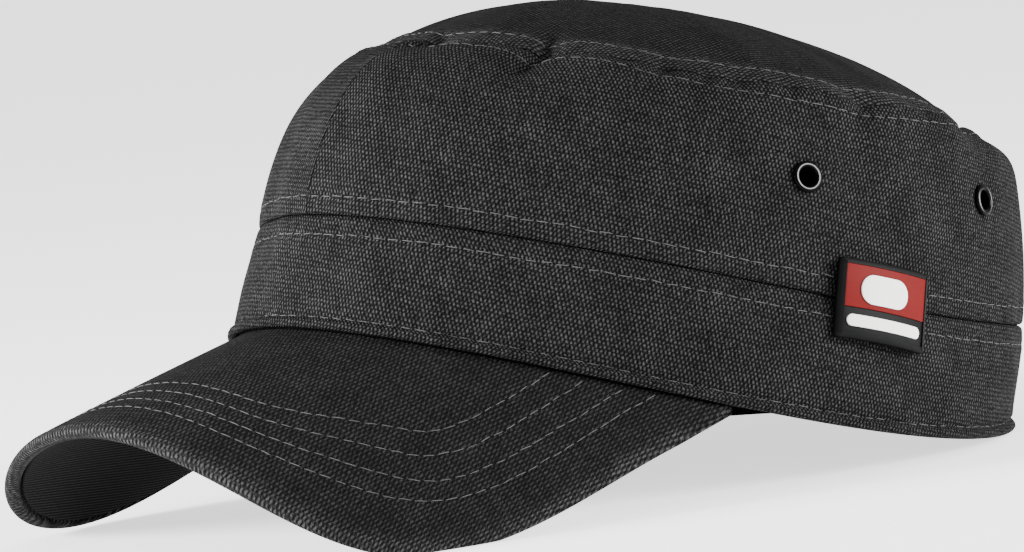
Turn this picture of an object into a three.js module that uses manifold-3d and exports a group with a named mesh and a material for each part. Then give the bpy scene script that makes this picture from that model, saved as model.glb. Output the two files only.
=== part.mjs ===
// Army cap of black cotton canvas: a soft crown with a domed top, a stitched
// band, a curved peak, four eyelets and a small rubber label.
//
// Millimetres, +Z up. The peak points to -Y and the wearer's left is +X.
// Each piece is made in the cap's own frame, whose XY plane touches the back
// of the hem. At the end the whole cap is tipped until it rests by itself on
// the two low sides of the peak and on the back of the hem.
import * as THREE from 'three';
import { mergeVertices } from 'three/addons/utils/BufferGeometryUtils.js';
import Module from 'manifold-3d';

// Driving dimensions: the cloth
const CLOTH = 1.8;            // canvas with its lining, sewn together
const GAP = 0.3;              // kept between pieces that touch
const SEAM_PINCH = 1.3;       // how deep the cloth dips into a seam
const SEAM_REACH = 3.2;       // how far from a seam the dip is felt

// Driving dimensions: the three seams round the head
const HEM_WIDTH = 173.5;
const HEM_LENGTH = 200;
const HEM_TILT = 2.3;         // how much higher the forehead is than the middle
const HEM_SAG = 11.7;         // how much lower the sides hang than the middle
const HEM_SKEW = 3.5;         // how much of that sag lies behind the ears
const BAND_HEIGHT = 24.9;     // from the hem to the band's seam, at the middle
const BAND_SEAM_WIDTH = 164;
const BAND_SEAM_LENGTH = 200.7;
const BAND_SEAM_TILT = 4.1;
const BAND_SEAM_SAG = 6.8;
const BAND_SEAM_SKEW = 2.8;
const BAND_BULGE = 0.2;
const CROWN_HEIGHT = 44.1;    // from the band's seam to the top seam
const CROWN_SQUARENESS = 3.4; // 2 is a round shoulder, more is squarer
const TOP_WIDTH = 146;
const TOP_LENGTH = 143.7;
const TOP_TILT = 4.1;
const TOP_SAG = 2.3;
const DOME_HEIGHT = 19.2;

// Driving dimensions: the hem's roll
const ROLL_HEIGHT = 3.0;
const ROLL_BULGE = 0.5;

// Driving dimensions: the peak
const PEAK_LENGTH = 60;       // from the forehead to the edge, on the cloth
const PEAK_SPREAD = 106.7;    // half the width of its flat pattern
const PEAK_CORNER = 73.8;     // degrees round the hem where it ends
const PEAK_SLOPE = 27.4;      // degrees down from the hem
const PEAK_RADIUS = 88.5;     // of its curve across, at the forehead
const PEAK_CLOSING = 0.09;    // share of that radius lost towards the edge
const PEAK_BOARD = 2.2;       // cloth, board and cloth
const PEAK_EDGE_WIDTH = 2.6;  // the rolled edge
const PEAK_EDGE_HEIGHT = 3.6;
const PEAK_TUCK = 1.5;        // how far it reaches in under the hem
const PEAK_CORNER_BODY = 0.3; // share of its thickness that is left at a corner
const PEAK_CORNER_DRAW = 4.4; // how far a corner is drawn in to the hem
const UNDER_CLOTH = 1.0;

// Driving dimensions: the eyelets
const EYELET_OUTER = 7.6;
const EYELET_HOLE = 4.6;
const EYELET_METAL = 0.45;
const EYELET_FLAT = 9;         // how far round it the cloth is drawn flat
const EYELET_CROWNING = 0.9;  // height of the rolled flange

// Driving dimensions: the label
const LABEL_WIDTH = 27.5;
const LABEL_HEIGHT = 19;
const LABEL_THICKNESS = 2.0;
const LABEL_CORNER = 1.0;
const LABEL_RIM = 1.4;
const LABEL_RECESS = 0.9;
const FIELD_SHARE = 0.62;     // of the recess, under the red field
const FIELD_THICKNESS = 0.5;
const MARK_WIDTH = 12.4;      // the plain raised marks in place of wording
const MARK_HEIGHT = 7;
const LINE_WIDTH = 19;
const LINE_HEIGHT = 2.6;
const MARK_THICKNESS = 0.4;
const LABEL_TURN = 96.2;      // degrees round the cap from the forehead
const LABEL_DROP = 2.8;       // how far its middle lies under the band's seam
const LABEL_LEAN = 4.5;       // degrees, its back end down

// Driving dimensions: how it rests
const REST_FLAT = 0.5;        // how much it is pressed flat where it rests

// How fine the facets are
const COLUMNS = 80;           // round the head, a multiple of four
const PEAK_COLUMNS = 40;
const EYELET_SIDES = 16;

const DEGREE = Math.PI / 180;
const EGG = -0.13;            // the head is wider behind the ears
const TOP_EGG = -0.22;        // and the top of the cap more so

// A row for each seam round the head. It reaches `front` and `back` from the
// middle of the opening, and lies at
// height + tilt cos(turn) - (sag - skew cos(turn)) sin(turn)^2.
const SEAMS = {
  hem: {
    width: HEM_WIDTH, front: HEM_LENGTH * 0.50, back: HEM_LENGTH * 0.50,
    height: HEM_TILT, tilt: HEM_TILT, sag: HEM_SAG, skew: HEM_SKEW, egg: EGG,
  },
  band: {
    width: BAND_SEAM_WIDTH, front: BAND_SEAM_LENGTH * 0.473, back: BAND_SEAM_LENGTH * 0.527,
    height: BAND_HEIGHT + HEM_TILT, tilt: BAND_SEAM_TILT, sag: BAND_SEAM_SAG,
    skew: BAND_SEAM_SKEW, egg: EGG,
  },
  top: {
    width: TOP_WIDTH, front: TOP_LENGTH * 0.458, back: TOP_LENGTH * 0.542,
    height: BAND_HEIGHT + CROWN_HEIGHT + HEM_TILT, tilt: TOP_TILT, sag: TOP_SAG, skew: 0,
    egg: TOP_EGG,
  },
};

// A row for each dent, fold or swelling of the crown's wall: where it lies, as
// degrees of turn and a share of the wall's height, how far it reaches each
// way, how much it leans, and its depth as a share of the top seam's pinch.
const FOLDS = [
  { turn: 8, rise: 0.96, wide: 5, tall: 0.10, lean: 0, depth: -0.8 },
  { turn: 22, rise: 0.66, wide: 9, tall: 0.30, lean: 0, depth: 0.6 },
  { turn: 35, rise: 0.91, wide: 5, tall: 0.24, lean: -8, depth: -1.6 },
  { turn: 47, rise: 0.78, wide: 8, tall: 0.28, lean: 0, depth: 0.7 },
  { turn: 59.5, rise: 0.97, wide: 5, tall: 0.10, lean: 0, depth: -0.9 },
  { turn: 71, rise: 0.95, wide: 5, tall: 0.12, lean: 0, depth: -0.8 },
  { turn: 97.5, rise: 0.96, wide: 6, tall: 0.16, lean: -6, depth: -0.9 },
  { turn: 118, rise: 0.62, wide: 15, tall: 0.32, lean: 0, depth: 0.8 },
  { turn: 136, rise: 0.66, wide: 12, tall: 0.20, lean: 0, depth: 1.0 },
  { turn: 126, rise: 0.90, wide: 5, tall: 0.34, lean: 14, depth: -1.5 },
  { turn: 164, rise: 0.70, wide: 10, tall: 0.35, lean: 0, depth: 1.0 },
  { turn: 204, rise: 0.76, wide: 9, tall: 0.30, lean: -8, depth: -1.0 },
  { turn: 246, rise: 0.60, wide: 14, tall: 0.32, lean: 0, depth: 0.8 },
  { turn: 282, rise: 0.88, wide: 7, tall: 0.20, lean: 6, depth: -1.0 },
  { turn: 322, rise: 0.82, wide: 8, tall: 0.28, lean: -8, depth: -1.1 },
];

// How the wall's shoulder is filled out, at each quarter of the turn.
const FULLNESS = { front: 0.57, side: 0.50, back: 0.95 };

// The rows of facets up each surface, as shares of its height.
const BAND_ROWS = [0, 0.05, 0.12, 0.45, 0.80, 0.94, 1];
const WALL_ROWS = [0, 0.05, 0.14, 0.30, 0.46, 0.62, 0.76, 0.88, 0.96, 1];
const DOME_ROWS = [0, 0.03, 0.09, 0.24, 0.48, 0.74, 1];

// Materials
function cloth(color, roughness) {
  return new THREE.MeshStandardMaterial({ color, roughness, metalness: 0, flatShading: true });
}
const CANVAS = cloth(0x26282a, 0.92);
const UNDER = cloth(0x141516, 0.95);
const RUBBER = cloth(0x3a3c3e, 0.6);
const RED = cloth(0xaf3c34, 0.55);
const PALE = cloth(0xe6e4df, 0.55);
const LACQUER = new THREE.MeshStandardMaterial({
  color: 0x0b0b0c, roughness: 0.25, metalness: 0.8, flatShading: true,
});

// Seams and surfaces of the crown

function mix(a, b, share) {
  return a + (b - a) * share;
}

function hump(distance, reach) {
  return Math.exp(-((distance / reach) ** 2));
}

function angleBetween(a, b) {
  return ((a - b + 540) % 360) - 180;
}

function seamPoint(seam, turn, share = 1) {
  const c = Math.cos(turn);
  const s = Math.sin(turn);
  const reach = c > 0 ? seam.front : seam.back;
  return new THREE.Vector3(
    share * (seam.width / 2) * s * (1 + seam.egg * c),
    -share * reach * c,
    seam.height + share * seam.tilt * c - share ** 2 * (seam.sag - seam.skew * c) * s * s,
  );
}

function fullnessAt(turn) {
  const c = Math.cos(turn);
  return mix(FULLNESS.side, c > 0 ? FULLNESS.front : FULLNESS.back, c * c);
}

function foldDepth(turn, rise) {
  let depth = 0;
  for (const fold of FOLDS) {
    const centre = fold.turn + fold.lean * (rise - fold.rise);
    const across = angleBetween(turn / DEGREE, centre);
    depth += fold.depth * SEAM_PINCH * hump(across, fold.wide) * hump(rise - fold.rise, fold.tall);
  }
  return depth;
}

// The smooth form of the wall, from the band's seam at row 0 up to the top
// seam at row 1: it stands up from the band and rolls in at a shoulder.
function wallForm(turn, row) {
  const low = seamPoint(SEAMS.band, turn);
  const high = seamPoint(SEAMS.top, turn);
  const angle = row * 90 * DEGREE;
  const power = 2 / CROWN_SQUARENESS;
  const fullness = fullnessAt(turn);
  const up = mix(row, Math.sin(angle) ** power, fullness);
  const inward = mix(row, 1 - Math.cos(angle) ** power, fullness);
  return new THREE.Vector3(mix(low.x, high.x, inward), mix(low.y, high.y, inward),
    mix(low.z, high.z, up));
}

function wallOffset(turn, row) {
  const low = row * CROWN_HEIGHT;
  const high = (1 - row) * CROWN_HEIGHT;
  const middle = Math.abs(Math.sin(turn)) * BAND_SEAM_WIDTH / 2;
  const pinch = hump(low, SEAM_REACH) + hump(high, SEAM_REACH) + 0.7 * hump(middle, SEAM_REACH);
  return foldDepth(turn, row) - SEAM_PINCH * Math.min(1, pinch);
}

// The band, from the hem at row 0 up to its seam at row 1.
function bandForm(turn, row) {
  return seamPoint(SEAMS.hem, turn).lerp(seamPoint(SEAMS.band, turn), row);
}

function bandOffset(turn, row) {
  const low = row * BAND_HEIGHT;
  const high = (1 - row) * BAND_HEIGHT;
  const roll = hump(low - ROLL_HEIGHT / 2, ROLL_HEIGHT / 2) - hump(low - ROLL_HEIGHT, ROLL_HEIGHT / 4);
  return BAND_BULGE * Math.sin(Math.PI * row) + ROLL_BULGE * roll
    + foldDepth(turn, 0) * hump(high, SEAM_REACH) - SEAM_PINCH * hump(high, SEAM_REACH);
}

// The dome, from the top seam at row 0 in to its middle at row 1.
function domeForm(turn, row) {
  const point = seamPoint(SEAMS.top, turn, 1 - row);
  point.z += DOME_HEIGHT * (1 - (1 - row) ** 2.3);
  return point;
}

function domeOffset(turn, row) {
  const edge = row * TOP_WIDTH / 2;
  return foldDepth(turn, 1) * hump(edge, 3 * SEAM_REACH) - SEAM_PINCH * hump(edge, SEAM_REACH);
}

// The two surfaces that meet at a seam share its way out, so that their ends
// are mitred and lie face to face.
function planNormal(turn, seam) {
  const step = 1e-3;
  const along = seamPoint(seam, turn + step).sub(seamPoint(seam, turn - step)).setZ(0);
  return along.cross(new THREE.Vector3(0, 0, 1)).normalize();
}

function hemWayOut(turn) {
  return planNormal(turn, SEAMS.hem);
}

function bandSeamWayOut(turn) {
  return planNormal(turn, SEAMS.band);
}

function topSeamWayOut(turn) {
  return planNormal(turn, SEAMS.top).setZ(1).normalize();
}

function straightUp() {
  return new THREE.Vector3(0, 0, 1);
}

const BAND = {
  form: bandForm, offset: bandOffset, length: BAND_HEIGHT, low: hemWayOut, high: bandSeamWayOut,
};
const WALL = {
  form: wallForm, offset: wallOffset, length: CROWN_HEIGHT, low: bandSeamWayOut, high: topSeamWayOut,
};
const DOME = {
  form: domeForm, offset: domeOffset, length: TOP_WIDTH / 2, low: topSeamWayOut, high: straightUp,
};

function wayOut(surface, turn, row) {
  const step = 1e-3;
  const inside = Math.min(Math.max(row, step), 1 - step);
  const along = surface.form(turn + step, inside).sub(surface.form(turn - step, inside));
  const up = surface.form(turn, inside + step).sub(surface.form(turn, inside - step));
  const bare = along.cross(up).normalize();
  bare.lerp(surface.low(turn), hump(row * surface.length, SEAM_REACH / 2));
  bare.lerp(surface.high(turn), hump((1 - row) * surface.length, SEAM_REACH / 2));
  return bare.normalize();
}

// A point of a surface, or `depth` further in.
function surfacePoint(surface, turn, row, depth = 0) {
  return surface.form(turn, row)
    .addScaledVector(wayOut(surface, turn, row), surface.offset(turn, row) - depth);
}

// Closed meshes

// Facets are collected as quads, and a side that has closed to a point, as at
// the middle of the dome, is left out.
function facets() {
  const corners = [];
  const same = (a, b) => a.distanceToSquared(b) < 1e-10;
  const triangle = (a, b, c) => {
    if (!same(a, b) && !same(b, c) && !same(c, a)) {
      corners.push(...a.toArray(), ...b.toArray(), ...c.toArray());
    }
  };
  const quad = (a, b, c, d) => {
    triangle(a, b, c);
    triangle(a, c, d);
  };
  const geometry = () => {
    const plain = new THREE.BufferGeometry();
    plain.setAttribute('position', new THREE.Float32BufferAttribute(corners, 3));
    return mergeVertices(plain, 1e-4);
  };
  return { quad, geometry };
}

// A shell between an outer and an inner grid of points. Each grid is a list of
// columns that run to the right, with rows that run up, seen from outside.
function shell(outer, inner, closed) {
  const { quad, geometry } = facets();
  const columns = outer.length;
  const top = outer[0].length - 1;
  const last = closed ? columns : columns - 1;
  for (let i = 0; i < last; i += 1) {
    const j = (i + 1) % columns;
    for (let row = 0; row < top; row += 1) {
      quad(outer[i][row], outer[j][row], outer[j][row + 1], outer[i][row + 1]);
      quad(inner[j][row], inner[i][row], inner[i][row + 1], inner[j][row + 1]);
    }
    quad(inner[i][0], inner[j][0], outer[j][0], outer[i][0]);
    quad(outer[i][top], outer[j][top], inner[j][top], inner[i][top]);
  }
  if (!closed) {
    for (let row = 0; row < top; row += 1) {
      quad(inner[0][row], outer[0][row], outer[0][row + 1], inner[0][row + 1]);
      quad(outer[last][row], inner[last][row], inner[last][row + 1], outer[last][row + 1]);
    }
  }
  return geometry();
}

function shares(count) {
  return Array.from({ length: count + 1 }, (_, i) => i / count);
}

const ROUND = shares(COLUMNS).slice(0, -1).map((share) => share * 2 * Math.PI);

// Joining and cutting of closed meshes

const wasm = await Module();
wasm.setup();

function toSolid(geometry) {
  const bare = geometry.clone();
  bare.deleteAttribute('normal');
  bare.deleteAttribute('uv');
  const merged = mergeVertices(bare, 1e-5);
  const vertProperties = new Float32Array(merged.attributes.position.array);
  const triVerts = new Uint32Array(merged.index.array);
  return new wasm.Manifold(new wasm.Mesh({ numProp: 3, vertProperties, triVerts }));
}

function toGeometry(solid) {
  const mesh = solid.getMesh();
  const geometry = new THREE.BufferGeometry();
  geometry.setAttribute('position', new THREE.BufferAttribute(mesh.vertProperties, 3));
  geometry.setIndex(new THREE.BufferAttribute(mesh.triVerts, 1));
  return geometry;
}

// Where the eyelets sit: one pair on each side, by the degrees of turn and the
// share of the wall's rows.
const EYELETS = {
  front: { turn: 84, rise: 0.388 },
  back: { turn: 119.5, rise: 0.396 },
};

// An eyelet's place on the wall, its way out and the turn that points it there.
function eyeletPlace(hand, place) {
  const turn = hand * place.turn * DEGREE;
  const position = surfacePoint(WALL, turn, place.rise);
  const out = wayOut(WALL, turn, place.rise);
  const rotation = new THREE.Quaternion().setFromUnitVectors(new THREE.Vector3(0, 1, 0), out);
  return { position, out, rotation };
}

// The flanges hold the cloth flat between them, and it rounds off again from
// there outwards.
function heldFlat(point, hand, depth) {
  for (const place of Object.values(EYELETS)) {
    const { position, out } = eyeletPlace(hand, place);
    const arm = point.clone().sub(position);
    const height = arm.dot(out);
    const away = arm.addScaledVector(out, -height).length();
    const hold = THREE.MathUtils.clamp((EYELET_FLAT + EYELET_OUTER / 2 - away) / EYELET_FLAT, 0, 1);
    if (hold > 0 && Math.abs(height) < EYELET_OUTER) {
      point.addScaledVector(out, hold * (-depth - height));
    }
  }
  return point;
}

// Pieces of the crown

function bandGeometry() {
  const side = (depth) => ROUND.map((turn) => BAND_ROWS.map((row) => {
    const point = surfacePoint(BAND, turn, row, depth);
    point.z -= row === 1 ? GAP / 2 : 0;
    return point;
  }));
  return shell(side(0), side(CLOTH), true);
}

function crownWallGeometry(hand) {
  const turns = shares(COLUMNS / 2).map((share) => (hand > 0 ? share : 1 + share) * Math.PI);
  const side = (depth) => turns.map((turn) => WALL_ROWS.map((row) => {
    const point = heldFlat(surfacePoint(WALL, turn, row, depth), hand, depth);
    point.x = hand * Math.max(GAP / 2, hand * point.x);
    point.z += row === 0 ? GAP / 2 : 0;
    return point;
  }));
  return shell(side(0), side(CLOTH), false);
}

function crownTopGeometry() {
  const lift = GAP * Math.SQRT2;
  const side = (depth) => ROUND.map((turn) => DOME_ROWS.map((row) => {
    if (row === 1) {
      return new THREE.Vector3(0, 0, SEAMS.top.height + DOME_HEIGHT + lift - depth);
    }
    const point = surfacePoint(DOME, turn, row, depth);
    point.z += lift;
    return point;
  }));
  return shell(side(0), side(CLOTH), true);
}

// The peak

// A place on the peak's curved sheet: `across` and `out` are measured on the
// flat pattern, from the middle of the forehead. The sheet is curved across,
// most near its middle, and a little closer towards the edge.
function sheetPoint(across, out) {
  const radius = PEAK_RADIUS * (1 - PEAK_CLOSING * out / PEAK_LENGTH);
  const flat = across / radius;
  const bend = flat - 0.074 * flat ** 3;
  const drop = radius * (1 - Math.cos(bend));
  const slope = PEAK_SLOPE * DEGREE;
  const root = seamPoint(SEAMS.hem, 0);
  return new THREE.Vector3(
    radius * Math.sin(bend),
    root.y - out * Math.cos(slope) + drop * Math.sin(slope),
    root.z - out * Math.sin(slope) - drop * Math.cos(slope),
  );
}

function sheetSlopes(place) {
  const step = 1e-2;
  const here = sheetPoint(place.x, place.y);
  const across = sheetPoint(place.x + step, place.y).sub(here).divideScalar(step);
  const out = sheetPoint(place.x, place.y + step).sub(here).divideScalar(step);
  return { here, across, out };
}

// The pattern's place over a point of the plan, found by Newton's steps.
function patternOver(x, y) {
  const place = new THREE.Vector2(x, seamPoint(SEAMS.hem, 0).y - y);
  for (let round = 0; round < 30; round += 1) {
    const { here, across, out } = sheetSlopes(place);
    const area = across.x * out.y - out.x * across.y;
    const dx = x - here.x;
    const dy = y - here.y;
    place.x += 0.8 * (dx * out.y - dy * out.x) / area;
    place.y += 0.8 * (across.x * dy - across.y * dx) / area;
  }
  return place;
}

// One column of the peak, at a share of the way from its middle to a corner:
// where it starts under the hem, where it ends at the edge, how far the hem is
// above the bare sheet there, and how much of its full thickness it has.
function peakColumn(share) {
  const turn = share * PEAK_CORNER * DEGREE;
  const root = seamPoint(SEAMS.hem, turn).addScaledVector(hemWayOut(turn), -PEAK_TUCK);
  const start = patternOver(root.x, root.y);
  const corner = seamPoint(SEAMS.hem, PEAK_CORNER * DEGREE);
  const angle = share * Math.PI / 2;
  const spread = PEAK_SPREAD - PEAK_CORNER_DRAW * Math.abs(share) ** 12;
  const end = new THREE.Vector2(
    Math.sign(share) * spread * Math.abs(Math.sin(angle)) ** 0.69,
    mix(patternOver(corner.x, corner.y).y, PEAK_LENGTH, Math.max(0, Math.cos(angle)) ** 0.44),
  );
  const lift = root.z - GAP - sheetPoint(start.x, start.y).z;
  const body = mix(1, PEAK_CORNER_BODY, Math.abs(share) ** 6);
  return { start, end, lift, body, length: start.distanceTo(end) };
}

function peakPoint(column, share, depth) {
  const place = column.start.clone().lerp(column.end, share);
  const { here, across, out } = sheetSlopes(place);
  const down = across.cross(out).normalize();
  here.z += column.lift * Math.max(0, 1 - share * column.length / PEAK_LENGTH) ** 2;
  return here.addScaledVector(down, depth * column.body);
}

// How far along a column a place is that lies `distance` in from the edge.
function fromEdge(column, distance) {
  return Math.max(0, 1 - distance / column.length);
}

const PEAK_LINES = shares(PEAK_COLUMNS).map((share) => peakColumn(mix(-1, 1, share)));

// A row for each line of facets round the peak's edge: how far in it lies, as
// a share of the rolled edge's width, and how deep its two faces are, as
// shares of the rolled edge's height.
const EDGE_ROWS = [
  { inset: 1.5, top: 0, under: PEAK_BOARD / PEAK_EDGE_HEIGHT },
  { inset: 1.0, top: 0, under: 1 },
  { inset: 0.4, top: 0.04, under: 0.97 },
  { inset: 0, top: 0.28, under: 0.74 },
];

function peakGeometry() {
  const rows = (column, face) => {
    const edge = EDGE_ROWS.map((row) => peakPoint(
      column, fromEdge(column, row.inset * PEAK_EDGE_WIDTH), row[face] * PEAK_EDGE_HEIGHT));
    const depth = face === 'top' ? 0 : PEAK_BOARD;
    const sheet = [0, 0.25, 0.5, 0.75].map((share) => peakPoint(
      column, share * fromEdge(column, EDGE_ROWS[0].inset * PEAK_EDGE_WIDTH), depth));
    return [...sheet, ...edge];
  };
  const top = PEAK_LINES.map((column) => rows(column, 'top'));
  const under = PEAK_LINES.map((column) => rows(column, 'under'));
  return shell(under, top, false);
}

function undersideGeometry() {
  const lines = PEAK_LINES.slice(2, -2);
  const face = (depth) => lines.map((column) => [0.04, 0.3, 0.6, 0.85, 1].map((share) => peakPoint(
    column, share * fromEdge(column, EDGE_ROWS[0].inset * PEAK_EDGE_WIDTH + GAP), depth)));
  return shell(face(PEAK_BOARD + GAP + UNDER_CLOTH), face(PEAK_BOARD + GAP), false);
}

// The eyelets

// A row for each corner of the eyelet's section: its distance from the axis
// and its height over the cloth's outer face.
function eyeletGeometry() {
  const hole = EYELET_HOLE / 2;
  const barrel = hole + EYELET_METAL;
  const rim = EYELET_OUTER / 2;
  const below = -CLOTH - GAP;
  const section = [
    [hole, below - EYELET_METAL],
    [rim, below - EYELET_METAL],
    [rim, below],
    [barrel, below],
    [barrel, GAP],
    [rim, GAP],
    [rim - 0.1 * EYELET_CROWNING, GAP + 0.5 * EYELET_CROWNING],
    [mix(hole, rim, 0.55), GAP + EYELET_CROWNING],
    [hole + 0.1 * EYELET_CROWNING, GAP + 0.6 * EYELET_CROWNING],
    [hole, below - EYELET_METAL],
  ];
  return new THREE.LatheGeometry(section.map(([x, y]) => new THREE.Vector2(x, y)), EYELET_SIDES);
}

function eyeletHole(hand, place) {
  const { position, rotation } = eyeletPlace(hand, place);
  const radius = EYELET_HOLE / 2 + EYELET_METAL + GAP;
  const drill = new THREE.CylinderGeometry(radius, radius, 6 * CLOTH, EYELET_SIDES);
  drill.applyQuaternion(rotation);
  drill.translate(position.x, position.y, position.z);
  return toSolid(drill);
}

function piercedWallGeometry(hand) {
  let wall = toSolid(crownWallGeometry(hand));
  for (const place of Object.values(EYELETS)) {
    wall = wall.subtract(eyeletHole(hand, place));
  }
  return toGeometry(wall);
}

// The label

// A point of the cloth at a height over the band's seam, or below it.
function nearSeam(turn, height) {
  return height > 0
    ? surfacePoint(WALL, turn, height / CROWN_HEIGHT)
    : surfacePoint(BAND, turn, 1 + height / BAND_HEIGHT);
}

// A frame on the cap's left side, astride the band's seam: x runs back along
// the seam, y up the cloth and z out of it.
function labelFrame() {
  const turn = LABEL_TURN * DEGREE;
  const low = nearSeam(turn, -LABEL_DROP - LABEL_HEIGHT / 2);
  const high = nearSeam(turn, -LABEL_DROP + LABEL_HEIGHT / 2);
  const up = high.clone().sub(low).normalize();
  const step = 1e-2;
  const along = seamPoint(SEAMS.band, turn + step).sub(seamPoint(SEAMS.band, turn - step));
  const out = along.cross(up).normalize();
  const frame = new THREE.Matrix4().makeBasis(up.clone().cross(out), up, out);
  frame.setPosition(low.lerp(high, 0.5));
  return frame.multiply(new THREE.Matrix4().makeRotationZ(-LABEL_LEAN * DEGREE));
}

const LABEL_FRAME = labelFrame();

// The cloth under the label, seen in the label's frame.
function clothUnderLabel() {
  const back = LABEL_FRAME.clone().invert();
  const spread = LABEL_WIDTH / BAND_SEAM_WIDTH;
  const points = [];
  for (const side of shares(8)) {
    const turn = LABEL_TURN * DEGREE + mix(-spread, spread, side);
    for (const share of shares(16)) {
      const height = mix(-LABEL_HEIGHT, LABEL_HEIGHT, share) / 2 - LABEL_DROP;
      points.push(nearSeam(turn, height).applyMatrix4(back));
    }
  }
  return points.filter(({ x, y }) => Math.abs(x) < 0.55 * LABEL_WIDTH
    && Math.abs(y) < 0.55 * LABEL_HEIGHT);
}

// The label is bent to the cloth: its back falls away on each side of its
// middle, more at one edge than the other, is turned and twisted as the cloth
// is, and lies as low as the cloth lets it.
function labelFit() {
  const points = clothUnderLabel();
  const sum = (term) => points.reduce((total, point) => total + term(point), 0);
  const tilt = sum(({ x, z }) => z * x) / sum(({ x }) => x ** 2);
  const twist = sum(({ x, y, z }) => z * x * y) / sum(({ x, y }) => (x * y) ** 2);
  const ends = points.filter(({ x }) => Math.abs(x) > 0.4 * LABEL_WIDTH);
  const bend = ends.reduce((total, { x, z }) => total - z / x ** 2, 0) / ends.length;
  const flare = -sum(({ x, y, z }) => z * y * x ** 2) / sum(({ x, y }) => y ** 2 * x ** 4);
  const fall = (x, y) => (bend + flare * y) * x ** 2 - (tilt + twist * y) * x;
  const lift = GAP + Math.max(...points.map(({ x, y, z }) => z + fall(x, y)));
  return (x, y) => lift - fall(x, y);
}

const labelHeight = labelFit();

function onLabel(x, y, z) {
  return new THREE.Vector3(x, y, z + labelHeight(x, y)).applyMatrix4(LABEL_FRAME);
}

// The upper half of a rounded oblong's outline, from its left end to its
// right end, with places along the straight for the bend.
function oblong(width, height, corner) {
  const arc = shares(3).map((share) => share * Math.PI / 2);
  const across = width / 2 - corner;
  const left = arc.map((angle) => [-across - corner * Math.cos(angle),
    height / 2 - corner + corner * Math.sin(angle)]);
  const middle = shares(6).slice(1, -1).map((share) => [mix(-across, across, share), height / 2]);
  const right = left.map(([x, y]) => [-x, y]).reverse();
  return [...left, ...middle, ...right];
}

// A bent plate on the label. `levels` has a row for each line of facets round
// it: how far in from the outline it lies, and how high over the label's back.
function plate({ width, height, corner, x = 0, y = 0, levels }) {
  const { quad, geometry } = facets();
  const lines = levels.map(({ inset, z }) => {
    const half = oblong(width - 2 * inset, height - 2 * inset, Math.max(0.1, corner - inset));
    return {
      upper: half.map(([px, py]) => onLabel(x + px, y + py, z)),
      lower: half.map(([px, py]) => onLabel(x + px, y - py, z)),
    };
  });
  const count = lines[0].upper.length;
  for (let i = 0; i < count - 1; i += 1) {
    for (let level = 0; level < lines.length - 1; level += 1) {
      const here = lines[level];
      const next = lines[level + 1];
      quad(here.lower[i], here.lower[i + 1], next.lower[i + 1], next.lower[i]);
      quad(here.upper[i + 1], here.upper[i], next.upper[i], next.upper[i + 1]);
    }
    const back = lines[0];
    const face = lines[lines.length - 1];
    quad(back.upper[i], back.upper[i + 1], back.lower[i + 1], back.lower[i]);
    quad(face.lower[i], face.lower[i + 1], face.upper[i + 1], face.upper[i]);
  }
  for (let level = 0; level < lines.length - 1; level += 1) {
    const here = lines[level];
    const next = lines[level + 1];
    quad(here.upper[0], here.lower[0], next.lower[0], next.upper[0]);
    quad(here.lower[count - 1], here.upper[count - 1], next.upper[count - 1], next.lower[count - 1]);
  }
  return geometry();
}

const RECESS = {
  width: LABEL_WIDTH - 2 * LABEL_RIM,
  height: LABEL_HEIGHT - 2 * LABEL_RIM,
  corner: LABEL_CORNER / 2,
  floor: LABEL_THICKNESS - LABEL_RECESS,
};

// The two fields of the recess, above each other, with a gap all round.
const FIELD_HEIGHT = FIELD_SHARE * RECESS.height - GAP;
const FIELD_MIDDLE = (RECESS.height - FIELD_HEIGHT) / 2 - GAP;
const LINE_MIDDLE = -(RECESS.height - (1 - FIELD_SHARE) * RECESS.height) / 2;

function labelBaseGeometry() {
  const edge = 0.2 * LABEL_THICKNESS;
  return plate({
    width: LABEL_WIDTH,
    height: LABEL_HEIGHT,
    corner: LABEL_CORNER,
    levels: [
      { inset: edge, z: 0 },
      { inset: 0, z: edge },
      { inset: 0, z: LABEL_THICKNESS - edge },
      { inset: edge, z: LABEL_THICKNESS },
      { inset: LABEL_RIM - edge / 2, z: LABEL_THICKNESS },
      { inset: LABEL_RIM, z: LABEL_THICKNESS - edge / 2 },
      { inset: LABEL_RIM, z: RECESS.floor },
    ],
  });
}

function thinPlate(width, height, corner, y, low, thickness) {
  const edge = 0.3 * thickness;
  const levels = [
    { inset: 0, z: low },
    { inset: 0, z: low + thickness - edge },
    { inset: edge, z: low + thickness },
  ];
  return plate({ width, height, corner, y, levels });
}

function labelFieldGeometry() {
  return thinPlate(RECESS.width - 2 * GAP, FIELD_HEIGHT, RECESS.corner, FIELD_MIDDLE,
    RECESS.floor + GAP, FIELD_THICKNESS);
}

function labelMarkGeometry() {
  return thinPlate(MARK_WIDTH, MARK_HEIGHT, MARK_HEIGHT / 2, FIELD_MIDDLE,
    RECESS.floor + FIELD_THICKNESS + 2 * GAP, MARK_THICKNESS);
}

function labelLineGeometry() {
  return thinPlate(LINE_WIDTH, LINE_HEIGHT, LINE_HEIGHT / 2, LINE_MIDDLE,
    RECESS.floor + GAP, MARK_THICKNESS);
}

// The cap, in its own frame

const cap = new THREE.Group();

function add(name, geometry, material) {
  const mesh = new THREE.Mesh(geometry, material);
  mesh.name = name;
  cap.add(mesh);
  return mesh;
}

add('crown_top', crownTopGeometry(), CANVAS);
add('crown_wall_left', piercedWallGeometry(1), CANVAS);
add('crown_wall_right', piercedWallGeometry(-1), CANVAS);
const band = add('band', bandGeometry(), CANVAS);
const peak = add('peak', peakGeometry(), CANVAS);
add('peak_underside', undersideGeometry(), UNDER);

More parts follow.
